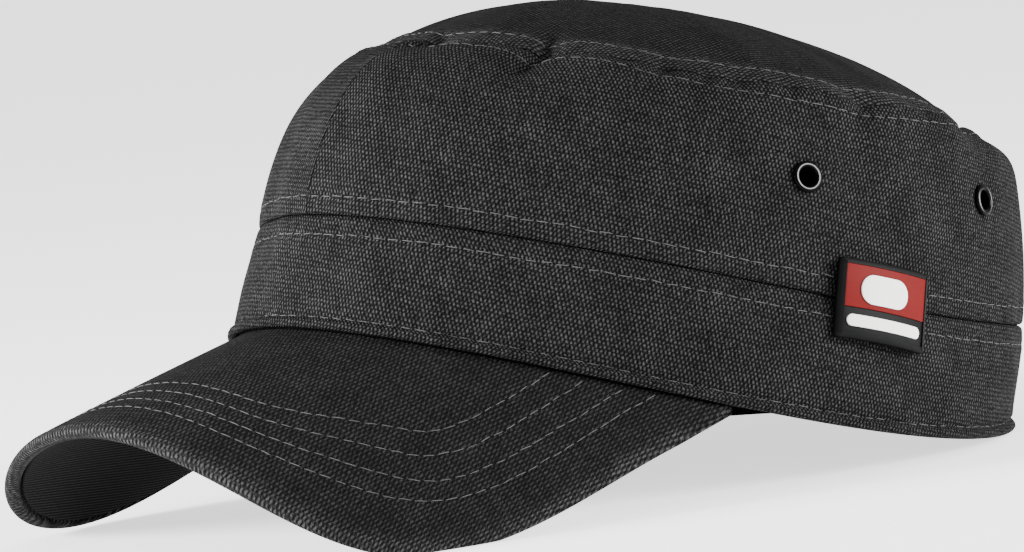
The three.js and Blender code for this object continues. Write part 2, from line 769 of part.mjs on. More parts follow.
for (const [hand, side] of [[1, 'left'], [-1, 'right']]) {
  for (const [end, place] of Object.entries(EYELETS)) {
    const { position, rotation } = eyeletPlace(hand, place);
    const eyelet = add(`eyelet_${side}_${end}`, eyeletGeometry(), LACQUER);
    eyelet.position.copy(position);
    eyelet.quaternion.copy(rotation);
  }
}

add('label_base', labelBaseGeometry(), RUBBER);
add('label_field', labelFieldGeometry(), RED);
add('label_mark', labelMarkGeometry(), PALE);
add('label_line', labelLineGeometry(), PALE);

// Resting

// The height of a mesh's lowest point when the cap is tipped back.
function lowest(mesh, tip) {
  const places = mesh.geometry.attributes.position;
  const up = new THREE.Vector3(0, -Math.sin(tip), Math.cos(tip));
  const point = new THREE.Vector3();
  let height = Infinity;
  for (let i = 0; i < places.count; i += 1) {
    height = Math.min(height, point.fromBufferAttribute(places, i).dot(up));
  }
  return { height, up };
}

// Tipped back further, the peak rises off the surface, and tipped forward the
// hem does. Halving finds the tip at which both touch it.
function restingTip() {
  let low = -30 * DEGREE;
  let high = 60 * DEGREE;
  for (let round = 0; round < 60; round += 1) {
    const tip = (low + high) / 2;
    if (lowest(peak, tip).height > lowest(band, tip).height) {
      high = tip;
    } else {
      low = tip;
    }
  }
  return (low + high) / 2;
}

// What reaches below the surface is pressed flat on it.
function pressFlat(mesh, floor, up) {
  const places = mesh.geometry.attributes.position;
  const point = new THREE.Vector3();
  for (let i = 0; i < places.count; i += 1) {
    const below = floor - point.fromBufferAttribute(places, i).dot(up);
    if (below > 0) {
      point.addScaledVector(up, below);
      places.setXYZ(i, point.x, point.y, point.z);
    }
  }
}

const tip = restingTip();
const { height, up } = lowest(peak, tip);
pressFlat(peak, height + REST_FLAT, up);
pressFlat(band, height + REST_FLAT, up);

cap.rotation.x = -tip;
cap.updateMatrixWorld(true);
const box = new THREE.Box3().setFromObject(cap, true);
cap.position.set(-(box.min.x + box.max.x) / 2, -(box.min.y + box.max.y) / 2, -box.min.z);

export default cap;
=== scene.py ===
# %% [markdown]
# # An army cap in canvas
#
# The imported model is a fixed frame: plain solids at their real size. This lesson dresses it. Each
# cloth piece is bent to its place from a flat grid, as a tailor bends a flat cut of cloth, and then
# gets its seams, stitches, eyelets and label.

# %% The frame and the tools
import math

import bpy
import numpy as np
from mathutils import Matrix, Vector


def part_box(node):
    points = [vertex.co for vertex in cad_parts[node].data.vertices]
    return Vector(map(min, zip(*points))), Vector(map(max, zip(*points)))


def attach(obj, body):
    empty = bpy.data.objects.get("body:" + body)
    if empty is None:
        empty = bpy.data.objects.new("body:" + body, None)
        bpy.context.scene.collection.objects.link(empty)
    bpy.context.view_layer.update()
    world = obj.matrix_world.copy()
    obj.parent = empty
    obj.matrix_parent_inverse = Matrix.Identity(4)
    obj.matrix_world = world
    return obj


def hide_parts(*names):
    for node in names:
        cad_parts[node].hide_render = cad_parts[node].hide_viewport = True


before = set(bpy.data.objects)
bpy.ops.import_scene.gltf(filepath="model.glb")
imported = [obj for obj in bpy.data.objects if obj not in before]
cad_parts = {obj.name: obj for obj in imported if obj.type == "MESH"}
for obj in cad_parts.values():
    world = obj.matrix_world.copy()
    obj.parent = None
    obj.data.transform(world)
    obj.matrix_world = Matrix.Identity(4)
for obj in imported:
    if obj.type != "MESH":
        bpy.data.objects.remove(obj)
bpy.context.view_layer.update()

print("nodes:", ", ".join(sorted(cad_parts)))

# %% [markdown]
# ## Camera
#
# The camera comes first, because every later choice is judged through it. A long lens far away gives
# the quiet perspective of a product photo. The camera looks from the wearer's front left, a little
# over the floor, and is rolled a few degrees, as the cap is in the photo.

# %% The camera
AIM = Vector((-0.00205, -0.00418, 0.05045))
AZIMUTH, ELEVATION, ROLL = (math.radians(angle) for angle in (51.71, 4.83, 5.76))
DISTANCE = 1.553


def way_from(azimuth, elevation):
    flat = math.cos(elevation)
    return Vector((math.sin(azimuth) * flat, -math.cos(azimuth) * flat, math.sin(elevation)))


def facing(place, way):
    return Matrix.Translation(place) @ Vector(way).to_track_quat("Z", "Y").to_matrix().to_4x4()


lens = bpy.data.cameras.new("photo_lens")
lens.lens = 227.0
lens.sensor_width = 36.0
lens.clip_end = 20.0
camera = bpy.data.objects.new("photo_camera", lens)
bpy.context.scene.collection.objects.link(camera)
back = way_from(AZIMUTH, ELEVATION)
camera.matrix_world = facing(AIM + back * DISTANCE, back) @ Matrix.Rotation(-ROLL, 4, "Z")
bpy.context.scene.camera = camera
print("camera at", tuple(round(value, 3) for value in camera.location))

# %% [markdown]
# ## The cap's own frame
#
# The cap was cut and sewn in a frame of its own, in millimetres, whose XY plane touches the back of
# the hem. Then it was set down, and tipped until it rested on the peak's low sides and on the hem.
# The same turn and shift are used here, so every formula can stay in the tailor's frame.

# %% Resting
MM = 0.001
REST_TURN = math.radians(12.55153)
REST_SHIFT = np.array([-0.2614, 21.2960, 21.6450])
REST = np.array([
    [1, 0, 0],
    [0, math.cos(REST_TURN), math.sin(REST_TURN)],
    [0, -math.sin(REST_TURN), math.cos(REST_TURN)],
])
FLOOR_CLEARANCE = 0.02


def set_down(points, directions=False):
    turned = np.asarray(points) @ REST.T
    return turned if directions else (turned + REST_SHIFT) * MM


def press(points):
    # cloth that would sink into the floor is pressed flat on it
    low = (points @ REST.T + REST_SHIFT)[..., 2]
    return points + np.maximum(0, FLOOR_CLEARANCE - low)[..., None] * REST[2]


print("the cap is tipped by", round(math.degrees(REST_TURN), 2), "degrees")

# %% [markdown]
# ## Seams and surfaces
#
# Three seams run round the head: the hem, the band's seam and the top seam. A point of a seam is
# found by its turn, the angle round the head from the forehead, over the left ear, to the back. Two
# surfaces are stretched between the seams and the dome closes the top. Formulas were chosen over
# sculpting because the same cloth, seam by seam, also makes the solids.

# %% Seams
CLOTH, GAP, EASE = 1.8, 0.3, 0.03
SEAM_STEP, SEAM_STEP_REACH, SEAM_REACH = 0.4, 1.5, 3.2
BAND_HEIGHT, CROWN_HEIGHT, TOP_WIDTH = 24.9, 44.1, 146.0
DOME_HEIGHT, DOME_ROUNDNESS, SQUARENESS = 19.2, 2.3, 3.4
FULLNESS = {"front": 0.57, "side": 0.50, "back": 0.95}
SEAM_COLUMNS = ("width", "front", "back", "height", "tilt", "sag", "skew", "egg")
SEAM_TABLE = {
    "hem": (173.5, 100.0, 100.0, 2.3, 2.3, 11.7, 3.5, -0.13),
    "band": (164.0, 94.931, 105.769, 27.2, 4.1, 6.8, 2.8, -0.13),
    "top": (146.0, 65.815, 77.885, 71.3, 4.1, 2.3, 0.0, -0.22),
}
SEAMS = {name: dict(zip(SEAM_COLUMNS, row)) for name, row in SEAM_TABLE.items()}


def stack(*values):
    return np.stack(np.broadcast_arrays(*values), axis=-1)


def mix(a, b, share):
    return a + (b - a) * share


def hump(distance, reach):
    return np.exp(-(distance / reach) ** 2)


def eased(share):
    return share * share * (3 - 2 * share)


def unit(vectors):
    return vectors / np.linalg.norm(vectors, axis=-1, keepdims=True)


def running_length(points, axis):
    steps = np.linalg.norm(np.diff(points, axis=axis), axis=-1)
    start = np.zeros_like(np.take(steps, [0], axis=axis))
    return np.concatenate([start, np.cumsum(steps, axis=axis)], axis=axis)


def seam_point(name, turn, share=1.0):
    seam = SEAMS[name]
    c, s = np.cos(turn), np.sin(turn)
    reach = np.where(c > 0, seam["front"], seam["back"])
    return stack(share * seam["width"] / 2 * s * (1 + seam["egg"] * c), -share * reach * c,
                 seam["height"] + share * seam["tilt"] * c
                 - share ** 2 * (seam["sag"] - seam["skew"] * c) * s * s)


# %% Surfaces
def wall_form(turn, row):
    low, high = seam_point("band", turn), seam_point("top", turn)
    c = np.cos(turn)
    full = mix(FULLNESS["side"], np.where(c > 0, FULLNESS["front"], FULLNESS["back"]), c * c)
    angle = np.clip(row, 0, 1) * math.pi / 2
    up = mix(row, np.sin(angle) ** (2 / SQUARENESS), full)
    inward = mix(row, 1 - np.cos(angle) ** (2 / SQUARENESS), full)
    flat = mix(low[..., :2], high[..., :2], inward[..., None])
    return np.concatenate([flat, mix(low[..., 2], high[..., 2], up)[..., None]], axis=-1)


def band_form(turn, row):
    return mix(seam_point("hem", turn), seam_point("band", turn), np.asarray(row)[..., None])


def dome_form(turn, row):
    point = seam_point("top", turn, 1 - row)
    point[..., 2] += DOME_HEIGHT * (1 - (1 - row) ** DOME_ROUNDNESS)
    return point


def plan_normal(name, turn):
    along = seam_point(name, turn + 1e-3) - seam_point(name, turn - 1e-3)
    return unit(stack(along[..., 1], -along[..., 0], 0 * turn))


def seam_way_out(name, turn):
    if name == "centre":
        return stack(0 * turn, 0 * turn, 1 + 0 * turn)
    plan = plan_normal(name, turn)
    return unit(plan + [0, 0, 1]) if name == "top" else plan


SURFACES = {
    "band": dict(form=band_form, length=BAND_HEIGHT, low="hem", high="band"),
    "wall": dict(form=wall_form, length=CROWN_HEIGHT, low="band", high="top"),
    "dome": dict(form=dome_form, length=TOP_WIDTH / 2, low="top", high="centre"),
}


def way_out(name, turn, row, step=1e-3):
    surface = SURFACES[name]
    form, length = surface["form"], surface["length"]
    inside = np.clip(row, step, 1 - step)
    along = form(turn + step, inside) - form(turn - step, inside)
    up = form(turn, inside + step) - form(turn, inside - step)
    out = unit(np.cross(along, up))
    for seam, away in ((surface["low"], row * length), (surface["high"], (1 - row) * length)):
        out = mix(out, seam_way_out(seam, turn), hump(away, SEAM_REACH / 2)[..., None])
    return unit(out)


print("seams:", ", ".join(SEAMS), "and surfaces:", ", ".join(SURFACES))

# %% [markdown]
# ## Folds, puckers and seam allowances
#
# A washed cap is never smooth. Large soft folds are kept in a table, each with its place, reach and
# depth, and the short creases that start at the top seam are kept in another. Small puckers gather
# along the seams where the longer cloth was eased into the shorter one. Between a seam and its
# topstitching lie two more layers of cloth, the seam allowance, which raise the surface a little, and
# each row of stitches draws the cloth in.

# %% Folds
SEAM_PINCH = 1.3
FOLDS = [  # turn, rise, wide, tall, lean, depth: degrees and shares of the wall's height
    (8, 0.96, 5, 0.10, 0, -0.8), (22, 0.66, 9, 0.30, 0, 0.6), (35, 0.91, 5, 0.24, -8, -1.6),
    (47, 0.78, 8, 0.28, 0, 0.7), (59.5, 0.97, 5, 0.10, 0, -0.9), (71, 0.95, 5, 0.12, 0, -0.8),
    (97.5, 0.96, 6, 0.16, -6, -0.9), (118, 0.62, 15, 0.32, 0, 0.8), (136, 0.66, 12, 0.20, 0, 1.0),
    (126, 0.90, 5, 0.34, 14, -1.5), (164, 0.70, 10, 0.35, 0, 1.0), (204, 0.76, 9, 0.30, -8, -1.0),
    (246, 0.60, 14, 0.32, 0, 0.8), (282, 0.88, 7, 0.20, 6, -1.0), (322, 0.82, 8, 0.28, -8, -1.1),
    (141, 0.84, 12, 0.16, 0, -1.5),
]
CREASES = [  # turn, wide, reach, lean, depth: degrees and millimetres
    (8.5, 2.6, 9, 1.0, 1.5), (22, 1.6, 5, 0.3, 0.5), (34.2, 1.7, 12, 0.1, 2.1), (41, 1.8, 4, -0.3, 0.6),
    (51, 1.6, 4, 0.2, 0.7), (58, 1.7, 4.5, 0.2, 1.1), (66.5, 1.8, 5, 0.3, 1.3), (71.8, 1.8, 4, -0.2, 1.1),
    (82, 2.0, 4, 0.2, 0.6), (98.3, 2.4, 7, 0.5, 1.6), (113, 2.4, 5, 0.2, 0.8), (133, 2.2, 6, 0.3, 1.2),
    (152, 2.6, 9, 0.5, 1.2),
    (-16, 2.2, 5, -0.4, 0.8), (-34, 2.0, 6, 0.2, 1.1), (-55, 1.8, 4, 0.2, 0.8), (-72, 1.8, 5, -0.2, 1.0),
    (-97, 2.0, 5, 0.3, 0.9), (-118, 2.2, 6, -0.3, 0.8), (-142, 2.4, 7, 0.3, 1.1), (178, 2.4, 5, 0.2, 0.7),
]
WAVES = [  # depth, count round the head, lean, start
    (0.30, 6, 1.7, 0.4), (0.22, 11, -2.6, 2.0), (0.16, 19, 3.1, 4.1), (0.14, 5, -7.0, 0.0),
    (0.10, 31, 5.0, 1.0),
]


def degrees_from(turn, centre):
    return (np.degrees(turn) - centre + 540) % 360 - 180


def fold_depth(turn, rise):
    return 0 * turn + sum(
        deep * SEAM_PINCH * hump(degrees_from(turn, centre + lean * (rise - height)), wide)
        * hump(rise - height, tall) for centre, height, wide, tall, lean, deep in FOLDS)


def creases(turn, distance, reach_share=1.0):
    return sum(deep * hump(degrees_from(turn, centre - lean * distance), wide)
               * hump(distance, reach * reach_share) for centre, wide, reach, lean, deep in CREASES)


def undulation(turn, rise):
    return sum(deep * np.sin(count * turn + lean * rise + start) for deep, count, lean, start in WAVES)


print(len(FOLDS), "folds,", len(CREASES), "creases and", len(WAVES), "waves")


# %% Puckers and seam allowances
PUCKER_DEPTH, HEM_PUCKER_DEPTH = 0.35, 0.2
TOP_PUCKERS, BAND_PUCKERS, HEM_PUCKERS = 46, 70, 78  # counts round the head
SEAM_GROOVE, SEAM_FALL, STITCH_PULL, BAND_FULLNESS = 0.35, 0.3, 0.22, 0.2


def puckers(turn, count):
    phase = count * turn / 2 + 1.3 * np.sin(5 * turn + 1) + 0.9 * np.sin(13 * turn + 2)
    strength = 0.55 + 0.45 * np.sin(3 * turn + 0.6) * np.sin(7 * turn + 2.1)
    return strength * (1 - np.abs(np.sin(phase))) ** 2


def allowance(distance, row, height, draw, beyond=1.8, soft=0.4):
    # the layers under a row of stitches end a little beyond it
    inside = 1 / (1 + np.exp(np.clip((distance - row - beyond) / soft, -50, 50)))
    return height * inside - draw * hump(distance - row, 0.55)


def groove(distance):
    return -SEAM_GROOVE * hump(distance, 0.6) - SEAM_FALL * hump(distance, SEAM_REACH)


def stitch_pull(turn, distance, count=111):
    beat = np.sin(count * turn / 2 + 0.8 * np.sin(7 * turn)) ** 2
    return -STITCH_PULL * beat * hump(distance, 1.6)


def from_middle(turn):
    return np.abs(np.sin(turn)) * SEAMS["band"]["width"] / 2


print("puckers:", TOP_PUCKERS, "at the top seam,", BAND_PUCKERS, "at the band,", HEM_PUCKERS, "at the hem")


# %% How far each surface stands off its smooth form
BAND_ROW, TOP_ROW, DOME_ROW, HEM_ROW = 4.6, 4.6, 5.0, 3.0
HEM_ROLL, HEM_DRAW, MIDDLE_RIDGE, MIDDLE_SLIT = 1.0, 0.8, 0.4, 0.12


def wall_offset(turn, row, climb, drop):
    middle = from_middle(turn)
    offset = fold_depth(turn, row) + groove(climb) + groove(drop)
    offset = offset + MIDDLE_RIDGE * hump(middle, 3.5) - MIDDLE_SLIT * hump(middle, 0.5)
    offset = offset + allowance(climb, BAND_ROW, 0.15, 0.15) + allowance(drop, TOP_ROW, 0.5, 0.15)
    offset = offset + undulation(turn, row) * np.clip(drop / 10, 0, 1)
    offset = offset + stitch_pull(turn, climb - BAND_ROW) + stitch_pull(turn + 2, drop - TOP_ROW)
    offset = offset - creases(turn, drop) - PUCKER_DEPTH * puckers(turn, TOP_PUCKERS) * hump(drop - 1, 4.0)
    return offset - PUCKER_DEPTH * puckers(turn + 1, BAND_PUCKERS) * hump(climb, 5.0)


def band_offset(turn, row, climb, drop):
    roll = HEM_ROLL * hump(climb - 1.4, 1.1) - HEM_DRAW * hump(climb - HEM_ROW, 0.6)
    offset = BAND_FULLNESS * np.sin(math.pi * row) + roll + groove(drop)
    offset = offset + allowance(drop, BAND_ROW, 0.15, 0.15)
    offset = offset + undulation(turn, row - 1) * np.clip(climb / 8, 0.2, 1)
    offset = offset + stitch_pull(turn, drop - BAND_ROW) + stitch_pull(turn + 4, climb - HEM_ROW)
    offset = offset - PUCKER_DEPTH * puckers(turn + 1, BAND_PUCKERS) * hump(drop, 5.0)
    offset = offset + fold_depth(turn, 0) * hump(drop, SEAM_REACH)
    return offset - HEM_PUCKER_DEPTH * puckers(turn + 2, HEM_PUCKERS) * hump(climb - 3, 3.0)


def dome_offset(turn, row, climb, drop):
    calm = np.clip(climb / 10, 0, 1) * np.clip(drop / 55, 0, 1) ** 1.5
    offset = fold_depth(turn, 1 + 0 * row) * hump(climb, 3 * SEAM_REACH) + groove(climb)
    offset = offset + allowance(climb, DOME_ROW, 0.6, 0.12) + stitch_pull(turn + 2, climb - DOME_ROW)
    offset = offset + 0.8 * undulation(turn, 3 + row) * calm
    offset = offset - PUCKER_DEPTH * puckers(turn, TOP_PUCKERS) * hump(climb - 1, 4.0)
    return offset - creases(turn, climb, 0.7)


OFFSETS = {"band": band_offset, "wall": wall_offset, "dome": dome_offset}
print("over the left ear the wall stands off by", wall_offset(math.pi / 2, 0.5, 22.0, 22.0).round(2), "mm")


# %% [markdown]
# ## Measuring along the cloth
#
# Stitches lie at real distances from a seam, so a place is found by the length of cloth from the
# seam, its climb. A tape laid up each column of the surface turns climbs into rows of the formula.

# %% The tape
TAPE = np.linspace(0, 1, 401)


def tape_lengths(name, turn):
    points = SURFACES[name]["form"](turn[:, None], np.broadcast_to(TAPE, (len(turn), len(TAPE))))
    return running_length(points, 1)


def rows_at(name, turn, climb):
    lengths = tape_lengths(name, turn)
    rows = [np.interp(np.where(c < 0, tape[-1] + c, c), tape, TAPE)
            for tape, c in zip(lengths, climb)]
    return np.array(rows), lengths[:, -1:]


def cloth_points(name, turn, row, climb, drop, depth=0.0):
    out = way_out(name, turn, row)
    offset = OFFSETS[name](turn, row, climb, drop) - depth
    return SURFACES[name]["form"](turn, row) + out * np.asarray(offset)[..., None], out


sample = tape_lengths("wall", np.radians([0.0, 90.0, 180.0]))[:, -1]
print("the wall is", ", ".join(f"{length:.1f}" for length in sample), "mm high at front, side and back")

# %% [markdown]
# ## A piece of cloth
#
# On the real cap each panel's raw edges are turned under at its seams, so that it ends in a soft fold
# and not in a cut edge. Here two flat grids, the outer and the inner face, are bent to their places
# and meet halfway through the cloth at every edge, which rounds the edge. The grids keep a UV map
# measured in millimetres along the threads, so the weave follows the cloth.

# %% Working on a mesh
SEWN = 2e-6


def newest(name):
    piece = bpy.context.object
    piece.name = piece.data.name = name
    return piece


def only(*pieces):
    bpy.ops.object.select_all(action="DESELECT")
    for piece in pieces:
        piece.select_set(True)
    bpy.context.view_layer.objects.active = pieces[0]


def edit(piece, operator, **values):
    only(piece)
    bpy.ops.object.mode_set(mode="EDIT")
    bpy.ops.mesh.select_all(action="SELECT")
    operator(**values)
    bpy.ops.object.mode_set(mode="OBJECT")


def join(pieces, name):
    only(*pieces)
    bpy.ops.object.join()
    return newest(name)


def vertex_places(mesh):
    flat = np.empty(len(mesh.vertices) * 3)
    mesh.vertices.foreach_get("co", flat)
    return flat.reshape(-1, 3)


def flat_floats(values):
    return np.ascontiguousarray(values, dtype=np.float32).ravel()


def move_vertices(mesh, places):
    mesh.vertices.foreach_set("co", flat_floats(places))
    mesh.update()


def add_attribute(piece, name, values):
    attribute = piece.data.attributes.new(name, "FLOAT", "POINT")
    attribute.data.foreach_set("value", flat_floats(values))


# %% Bending grids
def bend_grid(name, points, threads):
    columns, rows = points.shape[0] - 1, points.shape[1] - 1
    bpy.ops.object.select_all(action="DESELECT")
    bpy.ops.mesh.primitive_grid_add(x_subdivisions=columns, y_subdivisions=rows, size=1)
    piece = newest(name)
    flat = vertex_places(piece.data)
    i = np.rint((flat[:, 0] + 0.5) * columns).astype(int)
    j = np.rint((flat[:, 1] + 0.5) * rows).astype(int)
    move_vertices(piece.data, points[i, j])
    corners = np.empty(len(piece.data.loops), dtype=np.int32)
    piece.data.loops.foreach_get("vertex_index", corners)
    uv = threads[i[corners], j[corners]]
    piece.data.uv_layers.active.data.foreach_set("uv", flat_floats(uv))
    return piece


def mark(piece, name, values):
    # a bent grid's vertices come row by row
    order = np.arange(len(piece.data.vertices))
    add_attribute(piece, name, values[order % len(values), order // len(values)])


def sew_faces(outer, inner, name):
    edit(inner, bpy.ops.mesh.flip_normals)
    piece = join([outer, inner], name)
    edit(piece, bpy.ops.mesh.remove_doubles, threshold=SEWN)
    bpy.ops.object.shade_smooth()
    return piece


# %% A panel of cloth
EDGE_ROUND, DOME_RIM_FADE = 0.45, 2.5
FINE = np.array([0, 0.04, 0.14, 0.28, 0.45, 0.8, 1.25])


def edge_depth(distance):
    share = np.clip(distance / EDGE_ROUND, 0, 1)
    return CLOTH / 2 * (1 - np.sqrt(1 - (1 - share) ** 2))


def climbs_for(lengths, count, low, high=None):
    # rows of faces are closer at the edges and where stitches run
    rows = []
    for length in lengths[:, 0]:
        end = FINE if high else FINE[:1]
        line = np.linspace(FINE[-1], length - end[-1], count)
        for stitched in [low] + ([length - high] if high else []):
            nearest = np.argmin(np.abs(line - stitched))
            line[nearest - 1:nearest + 2] = stitched + np.array([-0.5, 0, 0.5])
        rows.append(np.concatenate([FINE[:-1], line, length - end[-2::-1]]))
    return np.array(rows)


def threads_along(points, anchor):
    run = running_length(points, 0)
    return stack(run - run[anchor], running_length(points, 1))


def threads_of(surface, points, anchor):
    threads = threads_along(points, anchor)
    if surface == "dome":
        rest = threads[:, -1:, 1] - threads[..., 1]
        threads = unit(points[..., :2] + 1e-6) * rest[..., None]
    return threads


def panel(name, surface, turn, count, stitched, finish, anchor=0):
    # finish brings the points to their last places, told their climb, depth in the cloth and drop
    lengths = tape_lengths(surface, turn)[:, -1:]
    climb = climbs_for(lengths, count, *stitched)
    drop = lengths - climb
    rows, _ = rows_at(surface, turn, climb)
    turns = np.broadcast_to(turn[:, None], rows.shape)
    edge = climb if surface == "dome" else np.minimum(climb, drop)
    if surface == "wall":
        edge = np.minimum(edge, 3 * from_middle(turns))
    faces = []
    for depth in (edge_depth(edge), CLOTH - edge_depth(edge)):
        points, _ = cloth_points(surface, turns, rows, climb, drop, depth)
        points = finish(points, climb, depth, drop)
        if surface != "wall":
            points[-1] = points[0]
        faces.append(points)
    threads = threads_of(surface, faces[0], anchor)
    outer, inner = (bend_grid(name + end, set_down(face), threads)
                    for end, face in zip(("", "_lining"), faces))
    if surface == "dome":
        for side in (outer, inner):
            mark(side, "rim", hump(np.maximum(0, climb - DOME_ROW), DOME_RIM_FADE))
    # the material paints this inner face nearly black, as painted shade inside the cap
    mark(inner, "inside", np.ones(climb.shape))
    piece = sew_faces(outer, inner, name)
    print(piece.name, len(piece.data.polygons), "faces")
    return piece


# %% [markdown]
# ## The eyelets' places
#
# Each eyelet's two flanges hold the cloth flat between them. Their places are needed before the wall
# is bent, because the wall gives way to them.

# %% Eyelet places
EYELET_OUTER, EYELET_HOLE, EYELET_METAL, EYELET_FLAT = 7.6, 4.6, 0.45, 9.0
EYELET_CROWNING, EYELET_ROUNDNESS, EYELET_LIP = 0.9, 0.58, 0.4
HIGHLIGHT_RING_WIDTH = 0.1
HIGHLIGHT_RING = {"front": (2.95, 0.75), "back": (3.2, 0.0)}  # radius and evenness of the painted highlight ring
EYELETS = {"front": (84.0, 0.388), "back": (119.5, 0.396)}


def solid_offset(turn, row):
    low, high = row * CROWN_HEIGHT, (1 - row) * CROWN_HEIGHT
    return fold_depth(turn, row) - SEAM_PINCH * np.minimum(1, hump(low, SEAM_REACH) + hump(high, SEAM_REACH))


def eyelet_place(hand, end):
    degrees, rise = EYELETS[end]
    turn, row = np.array([hand * math.radians(degrees)]), np.array([rise])
    out = way_out("wall", turn, row)
    place = wall_form(turn, row) + out * solid_offset(turn, row)[:, None]
    return place[0], out[0]


def held_flat(points, hand, depth):
    for end in EYELETS:
        place, out = eyelet_place(hand, end)
        arm = points - place
        height = arm @ out
        away = np.linalg.norm(arm - height[..., None] * out, axis=-1)
        hold = np.clip((EYELET_FLAT + EYELET_OUTER / 2 - away) / EYELET_FLAT, 0, 1)
        hold = np.where(np.abs(height) < EYELET_OUTER, eased(hold), 0)
        points = points + (hold * (-depth - height))[..., None] * out
    return points


for hand in (1, -1):
    for end in EYELETS:
        print("eyelet", hand, end, set_down(eyelet_place(hand, end)[0]).round(4))


# %% [markdown]
# ## The crown's walls
#
# Two panels make the wall. They meet at a seam in the middle of the front and of the back. The slit
# between the wall and the band climbs on its way through the cloth, so no light shines through it.

# %% Walls
def wall_turns(hand, columns=331):
    even = np.linspace(0, 1, columns)
    fine = np.array([0.0003, 0.0009, 0.0018, 0.003, 0.005])
    share = np.unique(np.concatenate([even[1:-1], [0, 1], fine, 1 - fine]))
    return (share if hand > 0 else share - 1) * math.pi


def finish_wall(hand):
    def finish(points, climb, depth, drop):
        points = held_flat(points, hand, depth)
        points[..., 0] = hand * np.maximum(EASE, hand * points[..., 0])
        points[..., 2] += (SEAM_STEP * depth / CLOTH + EASE) * hump(climb, SEAM_STEP_REACH)
        return points
    return finish


walls = {}
for hand, side in ((1, "left"), (-1, "right")):
    turn = wall_turns(hand)
    walls[hand] = panel(f"crown_wall_{side}_cloth", "wall", turn, 90, (BAND_ROW, TOP_ROW),
                        finish_wall(hand), len(turn) // 2)

# %% [markdown]
# ## The band and the dome
#
# The band is one strip, closed behind the head, with a rolled hem. The dome is one panel with its
# own threads, whose UV map is laid out flat from the centre by the length of the cloth.

# %% Band
def finish_band(points, climb, depth, drop):
    points[..., 2] += (SEAM_STEP * depth / CLOTH - EASE) * hump(drop, SEAM_STEP_REACH)
    return press(points)


BAND_COLUMNS, DOME_COLUMNS = 680, 560
band = panel("band_cloth", "band", np.linspace(-math.pi, math.pi, BAND_COLUMNS + 1), 44,
             (HEM_ROW, BAND_ROW), finish_band, 3 * BAND_COLUMNS // 4)


# %% Dome
def finish_dome(points, climb, depth, drop):
    points[..., 2] += EASE
    centre = np.array([0, 0, SEAMS["top"]["height"] + DOME_HEIGHT + EASE])
    points[:, -1] = centre - np.array([0, 0, 1]) * depth[:, -1:]
    return points


dome = panel("crown_top_cloth", "dome", np.linspace(-math.pi, math.pi, DOME_COLUMNS + 1), 76,
             (DOME_ROW,), finish_dome)

# %% [markdown]
# ## The peak
#
# The peak is a board between two cloths. Its flat pattern is curved across, as if bent over a barrel,
# and its edge is rolled round a cord. One grid runs from the forehead over the top, round the rolled
# edge and back underneath, so that the weave turns over the edge as the real cloth does.

# %% The curved sheet
PEAK_LENGTH, PEAK_SPREAD, PEAK_CORNER = 60.0, 106.7, math.radians(73.8)
PEAK_SLOPE, PEAK_RADIUS, PEAK_CLOSING = math.radians(27.4), 88.5, 0.09
PEAK_FLATTENING, PEAK_TWIST, PEAK_TUCK = 0.074, 1.6, 1.5
PEAK_BOARD, UNDER_CLOTH, EDGE_WIDTH, EDGE_HEIGHT = 2.2, 1.0, 2.6, 3.6
EDGE_BED = EDGE_WIDTH * 1.5
CORNER_BODY, CORNER_DRAW = 0.3, 4.4
OUTLINE_SIDES, OUTLINE_FRONT = 0.69, 0.44  # powers of an outline squarer than an ellipse
TRIM_DEPTH, TRIM_PLACE, TRIM_REACH = 1.4, 0.35, 0.3  # the left part of the front edge is cut back


def sheet_point(across, out):
    radius = PEAK_RADIUS * (1 - PEAK_CLOSING * out / PEAK_LENGTH)
    flat = across / radius
    bend = flat - PEAK_FLATTENING * flat ** 3
    drop = radius * (1 - np.cos(bend))
    root = seam_point("hem", np.zeros(1))[0]
    return stack(radius * np.sin(bend),
                 root[1] - out * math.cos(PEAK_SLOPE) + drop * math.sin(PEAK_SLOPE),
                 root[2] - out * math.sin(PEAK_SLOPE) - drop * math.cos(PEAK_SLOPE))


def sheet_slopes(across, out, step=1e-2):
    here = sheet_point(across, out)
    return (here, (sheet_point(across + step, out) - here) / step,
            (sheet_point(across, out + step) - here) / step)


def pattern_over(x, y, rounds=30, caution=0.8):
    # a few careful steps find the place in the flat pattern that comes to lie at x and y
    across, out = x.copy(), seam_point("hem", np.zeros(1))[0][1] - y
    for _ in range(rounds):
        here, side, ahead = sheet_slopes(across, out)
        area = side[..., 0] * ahead[..., 1] - ahead[..., 0] * side[..., 1]
        dx, dy = x - here[..., 0], y - here[..., 1]
        across = across + caution * (dx * ahead[..., 1] - dy * ahead[..., 0]) / area
        out = out + caution * (side[..., 0] * dy - side[..., 1] * dx) / area
    return across, out


# %% The peak's columns
def peak_columns(share):
    turn = share * PEAK_CORNER
    root = seam_point("hem", turn) - PEAK_TUCK * plan_normal("hem", turn)
    start = np.stack(pattern_over(root[:, 0], root[:, 1]), axis=-1)
    corner = seam_point("hem", np.array([PEAK_CORNER]))
    corner_out = pattern_over(corner[:, 0], corner[:, 1])[1][0]
    angle = share * math.pi / 2
    spread = PEAK_SPREAD - CORNER_DRAW * np.abs(share) ** 12
    end = stack(np.sign(share) * spread * np.abs(np.sin(angle)) ** OUTLINE_SIDES,
                mix(corner_out, PEAK_LENGTH, np.maximum(0, np.cos(angle)) ** OUTLINE_FRONT))
    end = end - unit(end - start) * (TRIM_DEPTH * hump(share - TRIM_PLACE, TRIM_REACH))[:, None]
    lift = root[:, 2] - GAP - sheet_point(start[:, 0], start[:, 1])[..., 2]
    body = mix(1, CORNER_BODY, np.abs(share) ** 6)
    length = np.linalg.norm(end - start, axis=-1)
    return dict(start=start, end=end, lift=lift, body=body, length=length)


